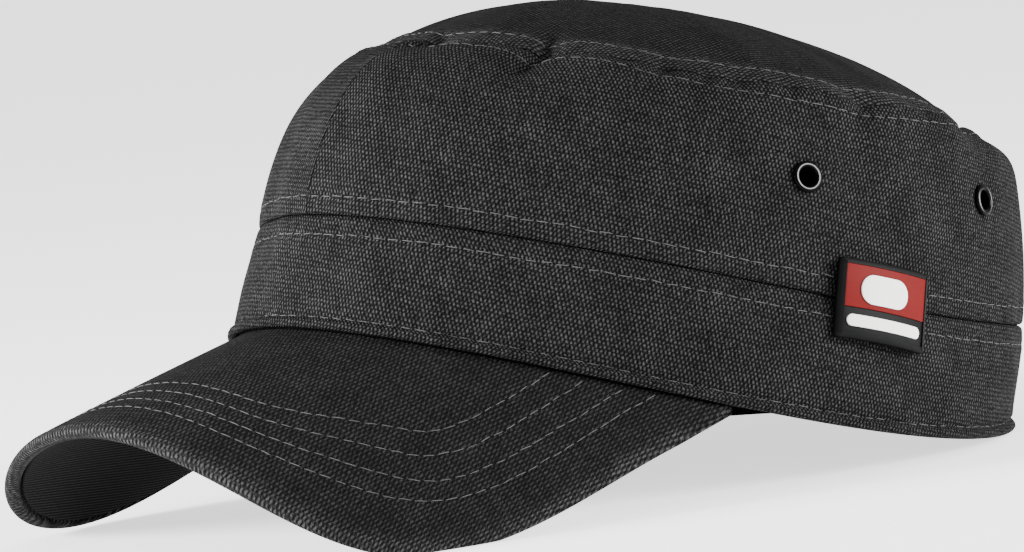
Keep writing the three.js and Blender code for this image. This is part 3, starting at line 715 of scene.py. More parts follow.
def peak_point(columns, run, depth):
    share = run / columns["length"][:, None]
    place = mix(columns["start"][:, None], columns["end"][:, None], share[..., None])
    here, side, ahead = sheet_slopes(place[..., 0], place[..., 1])
    down = unit(np.cross(side, ahead))
    fade = np.maximum(0, 1 - run / PEAK_LENGTH) ** 2
    here[..., 2] += columns["lift"][:, None] * fade - PEAK_TWIST * here[..., 0] / PEAK_SPREAD * share ** 2
    return here + down * (depth * columns["body"][:, None])[..., None], place


# %% The peak's section
PEAK_ROWS = ((12.5, 15.5), (17.2, 21.8), (22.0, 29.7), (27.0, 37.5))  # inset in front and at the sides
EDGE_GROOVE, ROW_GROOVE = 0.25, 0.16
ROWS_SPREAD, ROWS_SPREAD_WIDTH = 0.12, 0.36  # where each row goes over from its front inset to its side one


def peak_section(columns, top_count=92, edge_count=15, under_count=40):
    length = columns["length"][:, None]
    cut = np.minimum(EDGE_BED, 0.5 * length)
    turn = np.linspace(0, math.pi, edge_count)
    top = np.linspace(0, 1, top_count) * (length - cut)
    edge = length - EDGE_WIDTH * (1 - np.sin(turn)) * (cut / EDGE_BED)
    neck = length - np.array([1.25, 1.4, 1.5]) * EDGE_WIDTH * (cut / EDGE_BED)
    under = np.linspace(1, 0, under_count)[1:] * (length - cut)
    run = np.concatenate([top, edge, neck, under], axis=1)
    depth = np.concatenate([
        np.zeros(top_count), EDGE_HEIGHT / 2 * (1 - np.cos(turn)),
        mix(EDGE_HEIGHT, PEAK_BOARD, np.array([0.25, 0.8, 1.0])), np.full(under_count - 1, PEAK_BOARD)])
    return run, np.broadcast_to(depth, run.shape)


def from_edge(place):
    away = np.full(place.shape[:-1], np.inf)
    for x, y in columns["end"]:
        away = np.minimum(away, np.hypot(place[..., 0] - x, place[..., 1] - y))
    return away


def row_inset(row, share):
    sideways = np.clip((np.abs(share) - ROWS_SPREAD) / ROWS_SPREAD_WIDTH, 0, 1)
    return mix(*row, eased(sideways))


def peak_relief(place, depth, share):
    away = from_edge(place)
    relief = EDGE_GROOVE * hump(away - EDGE_BED, 0.8)
    for row in PEAK_ROWS:
        relief = relief + ROW_GROOVE * hump(away - row_inset(row, share)[:, None], 0.7)
    return np.where(depth < 0.01, relief, 0)


share = np.linspace(-1, 1, 301)
columns = peak_columns(share)
run, depth = peak_section(columns)
place = peak_point(columns, run, depth)[1]
points, place = peak_point(columns, run, depth + peak_relief(place, depth, share))
print("the peak's grid:", points.shape[0], "columns by", points.shape[1], "rows")

# %% The peak
PEAK_RIM, PEAK_RIM_FADE = 2.4, 1.6

closed = press(points)
middle = mix(closed[:, :1], closed[:, -1:], 0.5)
closed = np.concatenate([middle, closed, middle], axis=1)
for end in (0, -1):
    closed[end] = mix(closed[end], closed[end][::-1], 0.5)
place = np.concatenate([place[:, :1], place, place[:, -1:]], axis=1)
threads = stack(place[..., 0], place[:, :1, 1] + running_length(closed, 1))
peak = bend_grid("peak_cloth", set_down(closed), threads)
mark(peak, "rim", hump(np.maximum(0, from_edge(place) - PEAK_RIM), PEAK_RIM_FADE))
edit(peak, bpy.ops.mesh.remove_doubles, threshold=SEWN)
bpy.ops.object.shade_smooth()
print(peak.name, len(peak.data.polygons), "faces")

# %% [markdown]
# ## The peak's underside
#
# A thin ribbed cloth is glued under the board, inside the rolled edge. It is made of two grids like
# the other panels, laid on the peak's own curved sheet a little lower down, so it follows the peak
# everywhere.

# %% Underside
UNDER_START, UNDER_ROUND, UNDER_SIDE = 0.04, 0.6, 90.0


def underside_piece(name, skipped=14, count=70):
    inner = {key: value[skipped:-skipped] for key, value in columns.items()}
    reach = (inner["length"] - EDGE_BED - GAP)[:, None]
    shares = np.concatenate([[0, 0.002, 0.006, 0.012], np.linspace(0.03, 0.985, count), [0.991, 0.997, 1]])
    run = mix(UNDER_START, 1.0, shares) * reach
    edge = np.minimum(run - UNDER_START * reach, reach - run)
    side = np.linspace(-1, 1, len(reach))
    edge = np.minimum(edge, (1 - np.abs(side))[:, None] * UNDER_SIDE)
    soft = UNDER_CLOTH / 2 * (1 - np.sqrt(1 - (1 - np.clip(edge / UNDER_ROUND, 0, 1)) ** 2))
    faces = []
    for end, depth in (("", UNDER_CLOTH - soft), ("_glued", soft)):
        points, place = peak_point(inner, run, PEAK_BOARD + GAP + depth)
        faces.append(bend_grid(name + end, set_down(press(points)), place))
    return sew_faces(*faces[::-1], name)


underside = underside_piece("peak_underside_cloth")
print(underside.name, len(underside.data.polygons), "faces")

# %% [markdown]
# ## Seam allowances inside
#
# Behind each seam lies the cloth that was turned under, so no light passes through it. The left
# wall has its allowances behind the front seam and the back seam, and the peak has one that goes up
# inside the band. Each is a narrow strip, modelled here and joined to its panel at the end.

# %% Seam allowances
FLAP_WIDTH, FLAP_CLOTH, FLAP_GAP = 9.0, 0.5, 0.5
WALL_FLAP_FALL, WALL_FLAP_SHORT = 1.5, 0.6
PEAK_FLAP_FALL, PEAK_FLAP_RISE, PEAK_FLAP_PAST, PEAK_FLAP_TAPER = 1.2, 7.0, 0.03, 0.05


def flap_piece(name, surface, turn, climb, depth):
    climbs = np.maximum(climb, 0)
    rows, lengths = rows_at(surface, turn, climbs)
    turns = np.broadcast_to(turn[:, None], rows.shape)
    border = np.zeros(rows.shape)
    border[[0, -1]] = border[:, [0, -1]] = 0.5
    sides = []
    for part, layer in (("_outer", border), ("_inner", 1 - border)):
        points, _ = cloth_points(surface, turns, rows, climbs, lengths - climbs, depth + FLAP_CLOTH * layer)
        points[..., 2] += np.minimum(climb, 0)
        sides.append(bend_grid(name + part, set_down(points), threads_along(points, 0)))
        # the material paints the allowance nearly black, as painted shade inside the cap
        mark(sides[-1], "inside", np.ones(rows.shape))
    return sew_faces(*sides, name)


across = np.linspace(-1, 1, 9) * FLAP_WIDTH / SEAMS["band"]["width"]
flaps = []
for name, turn in (("front", across), ("back", math.pi + across)):
    reach = tape_lengths("wall", turn)[:, -1:] - WALL_FLAP_SHORT
    climb = np.concatenate([0 * reach - WALL_FLAP_FALL, np.linspace(0, 1, 61) * reach], axis=1)
    flaps.append(flap_piece(f"allowance_{name}", "wall", turn, climb, CLOTH + FLAP_GAP))
turn = np.linspace(-1, 1, 181) * (PEAK_CORNER + PEAK_FLAP_PAST)
below = -PEAK_FLAP_FALL * np.clip((PEAK_CORNER - np.abs(turn)) / PEAK_FLAP_TAPER, 0, 1)[:, None]
climb = np.concatenate([below, 0.3 * below, np.linspace(0.1, PEAK_FLAP_RISE, 12) + 0 * below], axis=1)
peak_flap = flap_piece("allowance_peak", "band", turn, climb, CLOTH + FLAP_GAP)
print("allowances:", [(flap.name, len(flap.data.polygons)) for flap in flaps + [peak_flap]])

# %% [markdown]
# ## Eyelets
#
# An eyelet is a short brass tube, black lacquered, whose end is rolled over the cloth. It is drawn as
# a section: a ring of edges is extruded and resized from step to step, up the barrel and over the
# rolled rim. One is modelled, and four copies go to their places, where a cylinder cuts the hole in
# the wall. One attribute marks the crest of the roll, where a pale ring is painted on as a highlight,
# and another marks the barrel, whose reflection is turned off as painted shade in the hole.

# %% One eyelet
def eyelet_model(name, sides=48):
    hole, rim = EYELET_HOLE / 2, EYELET_OUTER / 2
    barrel, below = hole + EYELET_METAL, -CLOTH - GAP
    crown = [(mix(hole, rim, 0.5 - 0.5 * math.cos(angle)),
              GAP + EYELET_CROWNING * mix(1, math.sin(angle), EYELET_ROUNDNESS))
             for angle in np.linspace(0.25, math.pi - 0.2, 18)]
    section = [(hole, below - EYELET_METAL), (hole, below + EYELET_LIP), (hole, -EYELET_LIP)] + crown + [
        (rim, GAP), (rim - EYELET_LIP, GAP), (barrel, GAP), (barrel, below), (rim, below),
        (rim, below - EYELET_METAL), (hole, below - EYELET_METAL)]
    bpy.ops.object.select_all(action="DESELECT")
    bpy.ops.mesh.primitive_circle_add(vertices=sides, radius=section[0][0] * MM,
                                      location=(0, 0, section[0][1] * MM))
    piece = newest(name)
    bpy.ops.object.transform_apply(location=True)
    bpy.ops.object.mode_set(mode="EDIT")
    bpy.ops.mesh.select_all(action="SELECT")
    for (radius, height), (wider, higher) in zip(section, section[1:]):
        bpy.ops.mesh.extrude_edges_move(
            TRANSFORM_OT_translate={"value": (0, 0, (higher - height) * MM)})
        bpy.ops.transform.resize(value=(wider / radius, wider / radius, 1),
                                 center_override=(0, 0, higher * MM))
    bpy.ops.mesh.select_all(action="SELECT")
    bpy.ops.mesh.remove_doubles(threshold=1e-6)
    bpy.ops.mesh.normals_make_consistent(inside=False)
    bpy.ops.object.mode_set(mode="OBJECT")
    bpy.ops.object.shade_smooth_by_angle(angle=math.radians(40))
    return piece


def paint_eyelet_highlight_and_shade(piece, model, radius, evenness):
    x, y, z = vertex_places(model.data).T / MM
    away = np.hypot(x, y)
    # a pale ring on the crest of the roll is a painted highlight; where evenness is low it shows only at the
    # left and right
    crest = hump(away - radius, HIGHLIGHT_RING_WIDTH) * (z > GAP) * mix((x / away) ** 4, 1.0, evenness)
    add_attribute(piece, "rubbed", crest)
    # the barrel is marked so that the material turns its reflection off: painted shade in the hole
    add_attribute(piece, "sunken", away < EYELET_HOLE / 2 + 0.05)


eyelet = eyelet_model("eyelet_model")
print("one eyelet has", len(eyelet.data.polygons), "faces")


# %% Four eyelets and their holes
DRILL_DEPTH = 12.0


def place_copy(model, name, matrix):
    piece = model.copy()
    piece.data = model.data.copy()
    piece.name = piece.data.name = name
    bpy.context.scene.collection.objects.link(piece)
    piece.data.transform(matrix)
    return piece


def drill(wall, matrix):
    bpy.ops.object.select_all(action="DESELECT")
    bpy.ops.mesh.primitive_cylinder_add(vertices=48, radius=(EYELET_HOLE / 2 + EYELET_METAL + GAP) * MM,
                                        depth=DRILL_DEPTH * MM)
    cutter = bpy.context.object
    cutter.data.transform(matrix)
    cut = wall.modifiers.new("hole", "BOOLEAN")
    cut.object, cut.operation, cut.solver = cutter, "DIFFERENCE", "EXACT"
    bpy.context.view_layer.objects.active = wall
    bpy.ops.object.modifier_apply(modifier=cut.name)
    bpy.data.objects.remove(cutter)


eyelets = {}
for hand, side in ((1, "left"), (-1, "right")):
    for end in EYELETS:
        place, out = eyelet_place(hand, end)
        matrix = facing(set_down(place), set_down(out, directions=True))
        eyelets[side, end] = place_copy(eyelet, f"eyelet_{side}_{end}_rolled", matrix)
        paint_eyelet_highlight_and_shade(eyelets[side, end], eyelet, *HIGHLIGHT_RING[end])
        drill(walls[hand], matrix)
bpy.data.objects.remove(eyelet)
print(", ".join(piece.name for piece in eyelets.values()))

# %% [markdown]
# ## The label
#
# A small moulded rubber label is sewn across the band's seam. It is modelled flat, as it comes out of
# its mould: a block with rounded corners and a raised rim, with a red field and a dark panel in its
# recess, a groove round both, a plain oval on the field and a plain bar on the panel. Then every
# piece is cut into narrow strips and bent to the cloth.

# %% How the label lies
LABEL_WIDTH, LABEL_HEIGHT, LABEL_THICKNESS = 27.5, 19.0, 2.0
LABEL_CORNER, LABEL_RIM, LABEL_RECESS = 1.0, 0.8, 0.65
LABEL_GAP, LABEL_GROOVE, BORDER = 0.05, 0.45, 0.05
LABEL_TURN, LABEL_DROP, LABEL_LEAN = math.radians(96.2), 2.8, math.radians(4.5)


def near_seam(turn, height):
    # the cloth by the band's seam, without its fine relief: upwards is the wall and downwards the band
    turn, height = np.broadcast_arrays(np.asarray(turn, float), np.asarray(height, float))
    row = np.where(height > 0, height / CROWN_HEIGHT, 1 + height / BAND_HEIGHT)
    near = hump(np.abs(height), SEAM_REACH)
    stand = BAND_FULLNESS * np.sin(math.pi * row) + (fold_depth(turn, 0 * row) - SEAM_PINCH) * near
    wall_place = wall_form(turn, row) + way_out("wall", turn, row) * solid_offset(turn, row)[..., None]
    band_place = band_form(turn, row) + way_out("band", turn, row) * stand[..., None]
    return np.where((height > 0)[..., None], wall_place, band_place)


def label_frame():
    ends = near_seam([LABEL_TURN] * 2, [-LABEL_DROP - LABEL_HEIGHT / 2, -LABEL_DROP + LABEL_HEIGHT / 2])
    up = unit(ends[1] - ends[0])
    along = seam_point("band", np.array([LABEL_TURN + 1e-2, LABEL_TURN - 1e-2]))
    out = unit(np.cross(along[0] - along[1], up))
    basis = np.stack([np.cross(up, out), up, out], axis=1)
    c, s = math.cos(-LABEL_LEAN), math.sin(-LABEL_LEAN)
    return basis @ np.array([[c, -s, 0], [s, c, 0], [0, 0, 1]]), ends.mean(axis=0)


LABEL_BASIS, LABEL_MIDDLE = label_frame()


def label_fall():
    # the plainest bend, tilt and twist that follow the cloth behind the label
    spread = LABEL_WIDTH / SEAMS["band"]["width"]
    turn, height = np.meshgrid(LABEL_TURN + np.linspace(-spread, spread, 9),
                               np.linspace(-0.5, 0.5, 17) * LABEL_HEIGHT - LABEL_DROP, indexing="ij")
    x, y, z = ((near_seam(turn, height) - LABEL_MIDDLE) @ LABEL_BASIS).reshape(-1, 3).T
    on = (np.abs(x) < (0.5 + BORDER) * LABEL_WIDTH) & (np.abs(y) < (0.5 + BORDER) * LABEL_HEIGHT)
    x, y, z = x[on], y[on], z[on]
    tilt, twist = (z * x).sum() / (x * x).sum(), (z * x * y).sum() / ((x * y) ** 2).sum()
    ends = np.abs(x) > (0.5 - 2 * BORDER) * LABEL_WIDTH
    bend = (-z[ends] / x[ends] ** 2).mean()
    flare = -(z * y * x ** 2).sum() / (y ** 2 * x ** 4).sum()

    def fall(px, py):
        return (bend + flare * py) * px ** 2 - (tilt + twist * py) * px
    return fall, GAP + (z + fall(x, y)).max()


FALL, LABEL_LIFT = label_fall()


def on_label(points):
    x, y, z = points.T
    bent = np.stack([x, y, z + LABEL_LIFT - FALL(x, y)], axis=-1)
    return set_down(bent @ LABEL_BASIS.T + LABEL_MIDDLE)


print("the label's middle is at", on_label(np.zeros((1, 3))).round(4), "CAD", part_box("label_base"))


# %% A moulded plate
STRIP, STRIP_START = 1.0, 0.37


def sink(piece, rim, deep):
    bpy.ops.object.mode_set(mode="OBJECT")
    for face in piece.data.polygons:
        face.select = face.normal.z > 0.9
    bpy.ops.object.mode_set(mode="EDIT")
    bpy.ops.mesh.select_mode(type="FACE")
    bpy.ops.mesh.inset(thickness=rim, depth=0)
    bpy.ops.mesh.extrude_region_move(TRANSFORM_OT_translate={"value": (0, 0, -deep)})


def cut_in_strips(x, width):
    # a flat face bends only along its edges, so it gets one for each millimetre
    bpy.ops.object.mode_set(mode="EDIT")
    for cut in np.arange(STRIP_START - math.floor(width / 2), width / 2 - 0.2 * STRIP, STRIP):
        bpy.ops.mesh.select_all(action="SELECT")
        bpy.ops.mesh.bisect(plane_co=(x + cut, 0, 0), plane_no=(1, 0, 0))
    bpy.ops.mesh.select_all(action="SELECT")
    bpy.ops.mesh.quads_convert_to_tris()
    bpy.ops.object.mode_set(mode="OBJECT")


def plate(name, size, corner, place, soft, recess=None):
    x, y, bottom = place
    width, thickness = size[0], size[2]
    bpy.ops.object.select_all(action="DESELECT")
    bpy.ops.mesh.primitive_cube_add(size=1, location=(x, y, bottom + thickness / 2))
    piece = newest(name)
    piece.scale = size
    bpy.ops.object.transform_apply(location=True, scale=True)
    bpy.ops.object.mode_set(mode="EDIT")
    bpy.ops.mesh.select_all(action="DESELECT")
    bpy.ops.object.mode_set(mode="OBJECT")
    for edge in piece.data.edges:
        a, b = (piece.data.vertices[i].co for i in edge.vertices)
        edge.select = abs(a.z - b.z) > 0.5 * thickness
    bpy.ops.object.mode_set(mode="EDIT")
    bpy.ops.mesh.select_mode(type="EDGE")
    bpy.ops.mesh.bevel(offset=corner, segments=8, affect="EDGES")
    bpy.ops.mesh.select_all(action="DESELECT")
    if recess:
        sink(piece, *recess)
    bpy.ops.object.mode_set(mode="OBJECT")
    bevel = piece.modifiers.new("soft edges", "BEVEL")
    bevel.width, bevel.segments = soft, 3
    bevel.limit_method, bevel.angle_limit = "ANGLE", math.radians(60)
    bpy.ops.object.modifier_apply(modifier=bevel.name)
    cut_in_strips(x, width)
    move_vertices(piece.data, on_label(vertex_places(piece.data)))
    bpy.ops.object.shade_smooth_by_angle(angle=math.radians(50))
    return piece


# %% The label's measures
FIELD_SPLIT, FIELD_CORNER, FIELD_THICK, PANEL_THICK, MARK_THICK = 0.12, 0.4, 0.5, 0.35, 0.4
OVAL, OVAL_CORNER, OVAL_X, OVAL_DROP = (14.0, 7.0), 3.45, -1.3, 0.5
BAR, BAR_CORNER, BAR_X = (22.2, 2.8), 1.38, -0.4

room_width, room_height = LABEL_WIDTH - 2 * LABEL_RIM, LABEL_HEIGHT - 2 * LABEL_RIM
split = -FIELD_SPLIT * room_height
field_width = room_width - 2 * LABEL_GROOVE
field_height = room_height / 2 - split - LABEL_GROOVE - LABEL_GAP
panel_height = room_height / 2 + split - LABEL_GROOVE - LABEL_GAP
field_y = split + LABEL_GAP + field_height / 2
panel_y = split - LABEL_GAP - panel_height / 2
ground = LABEL_THICKNESS - LABEL_RECESS + LABEL_GAP
print(f"field {field_width:.1f} by {field_height:.1f} mm, panel {field_width:.1f} by {panel_height:.1f} mm")

# %% The label's pieces
label = {
    "base": plate("label_rim", (LABEL_WIDTH, LABEL_HEIGHT, LABEL_THICKNESS), LABEL_CORNER, (0, 0, 0), 0.3,
                  recess=(LABEL_RIM, LABEL_RECESS)),
    "panel": plate("label_panel", (field_width, panel_height, PANEL_THICK), FIELD_CORNER,
                   (0, panel_y, ground), 0.1),
    "field": plate("label_red_field", (field_width, field_height, FIELD_THICK), FIELD_CORNER,
                   (0, field_y, ground), 0.12),
    "mark": plate("label_oval", (*OVAL, MARK_THICK), OVAL_CORNER,
                  (OVAL_X, field_y - OVAL_DROP, ground + FIELD_THICK + LABEL_GAP), 0.12),
    "line": plate("label_bar", (*BAR, MARK_THICK), BAR_CORNER,
                  (BAR_X, panel_y, ground + PANEL_THICK + LABEL_GAP), 0.12),
}
print(", ".join(f"{piece.name} {len(piece.data.polygons)}" for piece in label.values()))

# %% [markdown]
# ## Stitches
#
# A topstitch shows as a short thread that dives into the cloth at both ends. One is modelled, with
# few faces, and copied along each row, a copy for each stitch, at a tailor's spacing. Seeded chance
# turns, shifts and stretches each one a little, so that no row looks printed.

# %% One stitch
STITCH_PITCH, STITCH_LENGTH, THREAD = 3.7, 3.55, 0.22
LEAN, STRAY, SUNK, RAISED, SHORTEST, LONGEST = 0.045, 0.1, 0.05, 0.06, 0.9, 1.04
chance = np.random.default_rng(7)


def stitch_model():
    # a ball is drawn out to a thread that keeps its width, and its ends are pushed down
    bpy.ops.object.select_all(action="DESELECT")
    bpy.ops.mesh.primitive_uv_sphere_add(segments=6, ring_count=6, radius=0.5)
    piece = bpy.context.object
    x, y, z = vertex_places(piece.data).T
    narrowed = np.maximum(0.3, np.sqrt(1 - (2 * z) ** 2 + 1e-9))
    width = THREAD * np.where(np.abs(z) < 0.49, np.minimum(1.15 / narrowed, 1.25), 1)
    dive = 1.5 * THREAD * (2 * z) ** 8
    move_vertices(piece.data, stack(z * STITCH_LENGTH, x * width, y * width - dive + 0.05))
    edit(piece, bpy.ops.mesh.normals_make_consistent, inside=False)
    bpy.ops.object.shade_smooth()
    return piece


def one_stitch(model, name, middle, ends, way):
    along = unit(ends[0] - ends[1])
    side = unit(np.cross(way, along))
    lean = chance.normal(0, LEAN)
    turned = unit(along * math.cos(lean) + side * math.sin(lean))
    side = unit(np.cross(way, turned))
    middle = mix(middle, mix(*ends, 0.5), 0.5)
    middle = middle + side * chance.normal(0, STRAY) + way * chance.uniform(-SUNK, RAISED)
    stretch = chance.uniform(SHORTEST, LONGEST)
    matrix = np.eye(4)
    matrix[:3, :3] = np.stack([turned * stretch, side, np.cross(turned, side)], axis=1) * MM
    matrix[:3, 3] = middle * MM
    return place_copy(model, name, Matrix(matrix))


def stitch_row(model, name, path, out, cloth):
    path = np.array([cloth.closest_point_on_mesh(Vector(point))[1] for point in set_down(path)]) / MM
    out = set_down(out, directions=True)
    lengths = running_length(path, 0)

    def at(values, length):
        return np.array([np.interp(length, lengths, values[:, axis]) for axis in range(3)])

    count = int(lengths[-1] / STITCH_PITCH)
    copies = []
    for centre in (np.arange(count) + 0.5) * lengths[-1] / count:
        ends = [at(path, centre + half) for half in (STITCH_LENGTH / 2, -STITCH_LENGTH / 2)]
        copies.append(one_stitch(model, name, at(path, centre), ends, at(out, centre)))
    return join(copies, name)


stitch = stitch_model()
print("one stitch has", len(stitch.data.polygons), "faces")


# %% Rows round the head
def row_path(surface, climb, turn):
    climbs = np.full((len(turn), 1), float(climb))
    rows, lengths = rows_at(surface, turn, climbs)
    climbs = np.where(climbs < 0, lengths + climbs, climbs)
    points, out = cloth_points(surface, turn[:, None], rows, climbs, lengths - climbs)
    return points[:, 0], out[:, 0]


around = np.linspace(0, 2 * math.pi, 1441)
ROWS_ROUND = {
    "stitches_hem": ("band", HEM_ROW, band), "stitches_band": ("band", -BAND_ROW, band),
    "stitches_wall_low": ("wall", BAND_ROW, walls), "stitches_wall_high": ("wall", -TOP_ROW, walls),
    "stitches_top": ("dome", DOME_ROW, dome),
}
rows = []
for name, (surface, climb, cloth) in ROWS_ROUND.items():
    if surface == "wall":
        for hand, side in ((1, "left"), (-1, "right")):
            path, out = row_path(surface, climb, hand * around[2:len(around) // 2 - 1])
            rows.append(stitch_row(stitch, f"{name}_{side}", path, out, cloth[hand]))
    else:
        rows.append(stitch_row(stitch, name, *row_path(surface, climb, around), cloth))
    print(name, len(rows[-1].data.polygons), "faces")


# %% Rows on the peak
def peak_row(row):
    inset = row_inset(row, share)
    shares = np.linspace(0, 1, 160)
    runs = shares * columns["length"][:, None]
    away = from_edge(peak_point(columns, runs, 0 * runs)[1])
    inside = np.flatnonzero(away[:, 0] > inset + 0.2)
    chosen = {key: value[inside] for key, value in columns.items()}
    run = np.array([[np.interp(inset[i], away[i, ::-1], runs[i, ::-1])] for i in inside])
    points, _ = peak_point(chosen, run, ROW_GROOVE + 0 * run)
    ahead, _ = peak_point(chosen, run + 0.1, ROW_GROOVE + 0 * run)
    side = np.gradient(points[:, 0], axis=0)
    out = unit(np.cross(ahead[:, 0] - points[:, 0], side))
    return points[:, 0], out * np.sign(out[:, 2:3])


for number, row in enumerate(PEAK_ROWS, start=1):
    rows.append(stitch_row(stitch, f"stitches_peak_{number}", *peak_row(row), peak))
bpy.data.objects.remove(stitch)
print("rows on the peak:", [len(row.data.polygons) for row in rows[-4:]])

# %% [markdown]
# ## Canvas
#
# Canvas is a plain weave: each upright thread passes over one cross thread and under the next. Where
# it passes over, its crest catches the light, and between the crests lies shadow, which is why the
# cloth looks dotted from close by. The material counts both threads along the UV map, which is in
# millimetres, and adds the cosines of the sum and of the difference of the two counts, and one along
# the cross threads. Noise makes the yarns uneven. Real thickness would take millions of faces, so the
# crests are drawn by colour and bump. The top and the peak get darker copies of the canvas, painted
# shade where they face away from the low lamps, and one attribute makes a panel paler towards its rim.
# Another attribute paints the inside of the cap nearly black, as painted shade.

# %% Small helpers for materials
def grey(value):
    return (value, value, value)


class Finish:
    # a material with one shader, and a short way to add each kind of node
    def __init__(self, name):
        self.material = bpy.data.materials.new(name)
        self.material.use_nodes = True
        self.nodes = self.material.node_tree.nodes
        self.shader = self.nodes["Principled BSDF"]

    def give(self, node, values):
        for name, value in values.items():
            socket = node.inputs[name]
            if isinstance(value, bpy.types.NodeSocket):
                self.material.node_tree.links.new(value, socket)
            else:
                socket.default_value = (*value, 1) if isinstance(value, tuple) else value

    def calculate(self, operation, *values, clamp=False):
        node = self.nodes.new("ShaderNodeMath")
        node.operation, node.use_clamp = operation, clamp
        self.give(node, dict(enumerate(values)))
        return node.outputs[0]

    def noise(self, vector, scale, detail=2.0, roughness=0.5):
        node = self.nodes.new("ShaderNodeTexNoise")
        self.give(node, {"Vector": vector, "Scale": scale, "Detail": detail, "Roughness": roughness})
        return node.outputs["Fac"]

    def mixed(self, factor, a, b):
        node = self.nodes.new("ShaderNodeMix")
        node.data_type = "RGBA"
        self.give(node, {"Factor": factor, "A": a, "B": b})
        return node.outputs["Result"]

    def attribute(self, name):
        node = self.nodes.new("ShaderNodeAttribute")
        node.attribute_name = name
        return node.outputs["Fac"]

    def across_and_up(self, vector):
        node = self.nodes.new("ShaderNodeSeparateXYZ")
        self.give(node, {0: vector})
        return node.outputs["X"], node.outputs["Y"]

    def bump(self, height, distance):
        node = self.nodes.new("ShaderNodeBump")
        self.give(node, {"Height": height, "Distance": distance * MM})
        self.give(self.shader, {"Normal": node.outputs["Normal"]})

    def surface(self, colour, roughness, shine):
        self.give(self.shader, {"Base Color": colour, "Roughness": roughness, "Specular IOR Level": shine})


# %% The weave
def weave(finish, warp=(1.93, -0.60), weft=(0.08, 0.95), shares=(0.215, 0.215, 0.11), wobble=0.12):
    node = finish.nodes.new("ShaderNodeUVMap")
    node.uv_map = "UVMap"
    uv = node.outputs["UV"]
    x, y = finish.across_and_up(uv)
    drift = finish.noise(uv, 0.4, 3.0, 0.65)
    jitter = finish.noise(uv, 1.3, 1.0)
    counts = []
    for (along, up), shift, shake in ((warp, 6 * wobble, 1.2), (weft, -7 * wobble, -0.9)):
        count = finish.calculate("MULTIPLY", x, along * math.pi)
        count = finish.calculate("MULTIPLY_ADD", y, up * math.pi, count)
        count = finish.calculate("MULTIPLY_ADD", jitter, shake * math.pi, count)
        counts.append(finish.calculate("MULTIPLY_ADD", drift, shift * math.pi, count))
    slopes = [finish.calculate(operation, *counts) for operation in ("ADD", "SUBTRACT")]
    slopes.append(finish.calculate("MULTIPLY", counts[1], 2.0))
    height = 1.0 - sum(shares)
    for slope, share in zip(slopes, shares):
        height = finish.calculate("MULTIPLY_ADD", finish.calculate("COSINE", slope), share, height)
    return uv, finish.calculate("MAXIMUM", height, 0.0), counts


def yarns(finish, counts, stretch):
    combined = finish.nodes.new("ShaderNodeCombineXYZ")
    stretched = [finish.calculate("MULTIPLY", count, gain / math.pi) for count, gain in zip(counts, stretch)]
    finish.give(combined, dict(enumerate(stretched)))
    return finish.noise(combined.outputs[0], 1.0, 2.0, 0.6)


# %% Canvas
def canvas_material(name, dark, light, rim_light=None, bump=0.2, depth=2.1, **threads):
    finish = Finish(name)
    bright = grey(light)
    # towards a panel's rim the crests take the paler rim_light colour
    if rim_light:
        bright = finish.mixed(finish.attribute("rim"), bright, grey(rim_light))
    # the inside of the cap is painted nearly black: painted shade
    bright = finish.mixed(finish.attribute("inside"), bright, grey(dark / 5))
    uv, height, counts = weave(finish, **threads)
    fibres = yarns(finish, counts, (5.0, 1.6))
    uneven = (
        (finish.noise(uv, 1.1, 1.0), 1.8, 0.1), (fibres, 2.0, 0.0),
        (yarns(finish, counts, (0.9, 0.06)), 1.3, 0.35), (yarns(finish, counts, (0.05, 0.9)), 1.0, 0.5),
        (finish.noise(uv, 0.07, 3.0, 0.6), 1.3, 0.35))
    lift = finish.calculate("POWER", height, depth)
    for noise, gain, base in uneven:
        lift = finish.calculate("MULTIPLY", lift, finish.calculate("MULTIPLY_ADD", noise, gain, base))
    lift = finish.calculate("MINIMUM", lift, 1.0)
    finish.surface(finish.mixed(lift, grey(dark), bright), 0.85, 0.02)
    wrinkle = finish.noise(uv, 0.16, 4.0, 0.6)
    total = finish.calculate("MULTIPLY_ADD", wrinkle, 2.5, height)
    finish.bump(finish.calculate("MULTIPLY_ADD", fibres, 0.25, total), bump)
    return finish.material


canvas = canvas_material("washed_canvas", 0.0009, 0.046)
# the peak and the top are darker copies of the canvas: painted shade, since they face away from the low
# lamps
peak_canvas = canvas_material("peak_canvas", 0.0024, 0.026, rim_light=0.052, bump=0.15, depth=1.9,
                              warp=(1.54, -0.44), weft=(0.05, 0.58), shares=(0.20, 0.25, 0.07))
top_canvas = canvas_material("top_canvas", 0.0022, 0.030, rim_light=0.054)
print("cloths:", canvas.name, peak_canvas.name, top_canvas.name)


# %% The underside's ribbed cloth
def ribbed_material(name, dark, light, rib=1.07, grain=(0.837, -0.547)):
    finish = Finish(name)
    uv, height, _ = weave(finish)
    x, y = finish.across_and_up(uv)
    phase = finish.calculate("MULTIPLY", x, grain[0] * math.pi / rib)
    phase = finish.calculate("MULTIPLY_ADD", y, grain[1] * math.pi / rib, phase)
    ribs = finish.calculate("POWER", finish.calculate("SINE", phase), 2.0)
    total = finish.calculate("MULTIPLY_ADD", height, 0.2, ribs)
    fuzz = finish.noise(uv, 1.4, 3.0)
    shade = finish.calculate("MULTIPLY", finish.calculate("MULTIPLY", total, 0.6), fuzz, clamp=True)
    finish.surface(finish.mixed(shade, dark, light), 0.92, 0.02)
    finish.bump(total, 0.12)
    return finish.material


under_cloth = ribbed_material("ribbed_under_cloth", grey(0.0004), (0.042, 0.042, 0.043))
print("under cloth:", under_cloth.name)
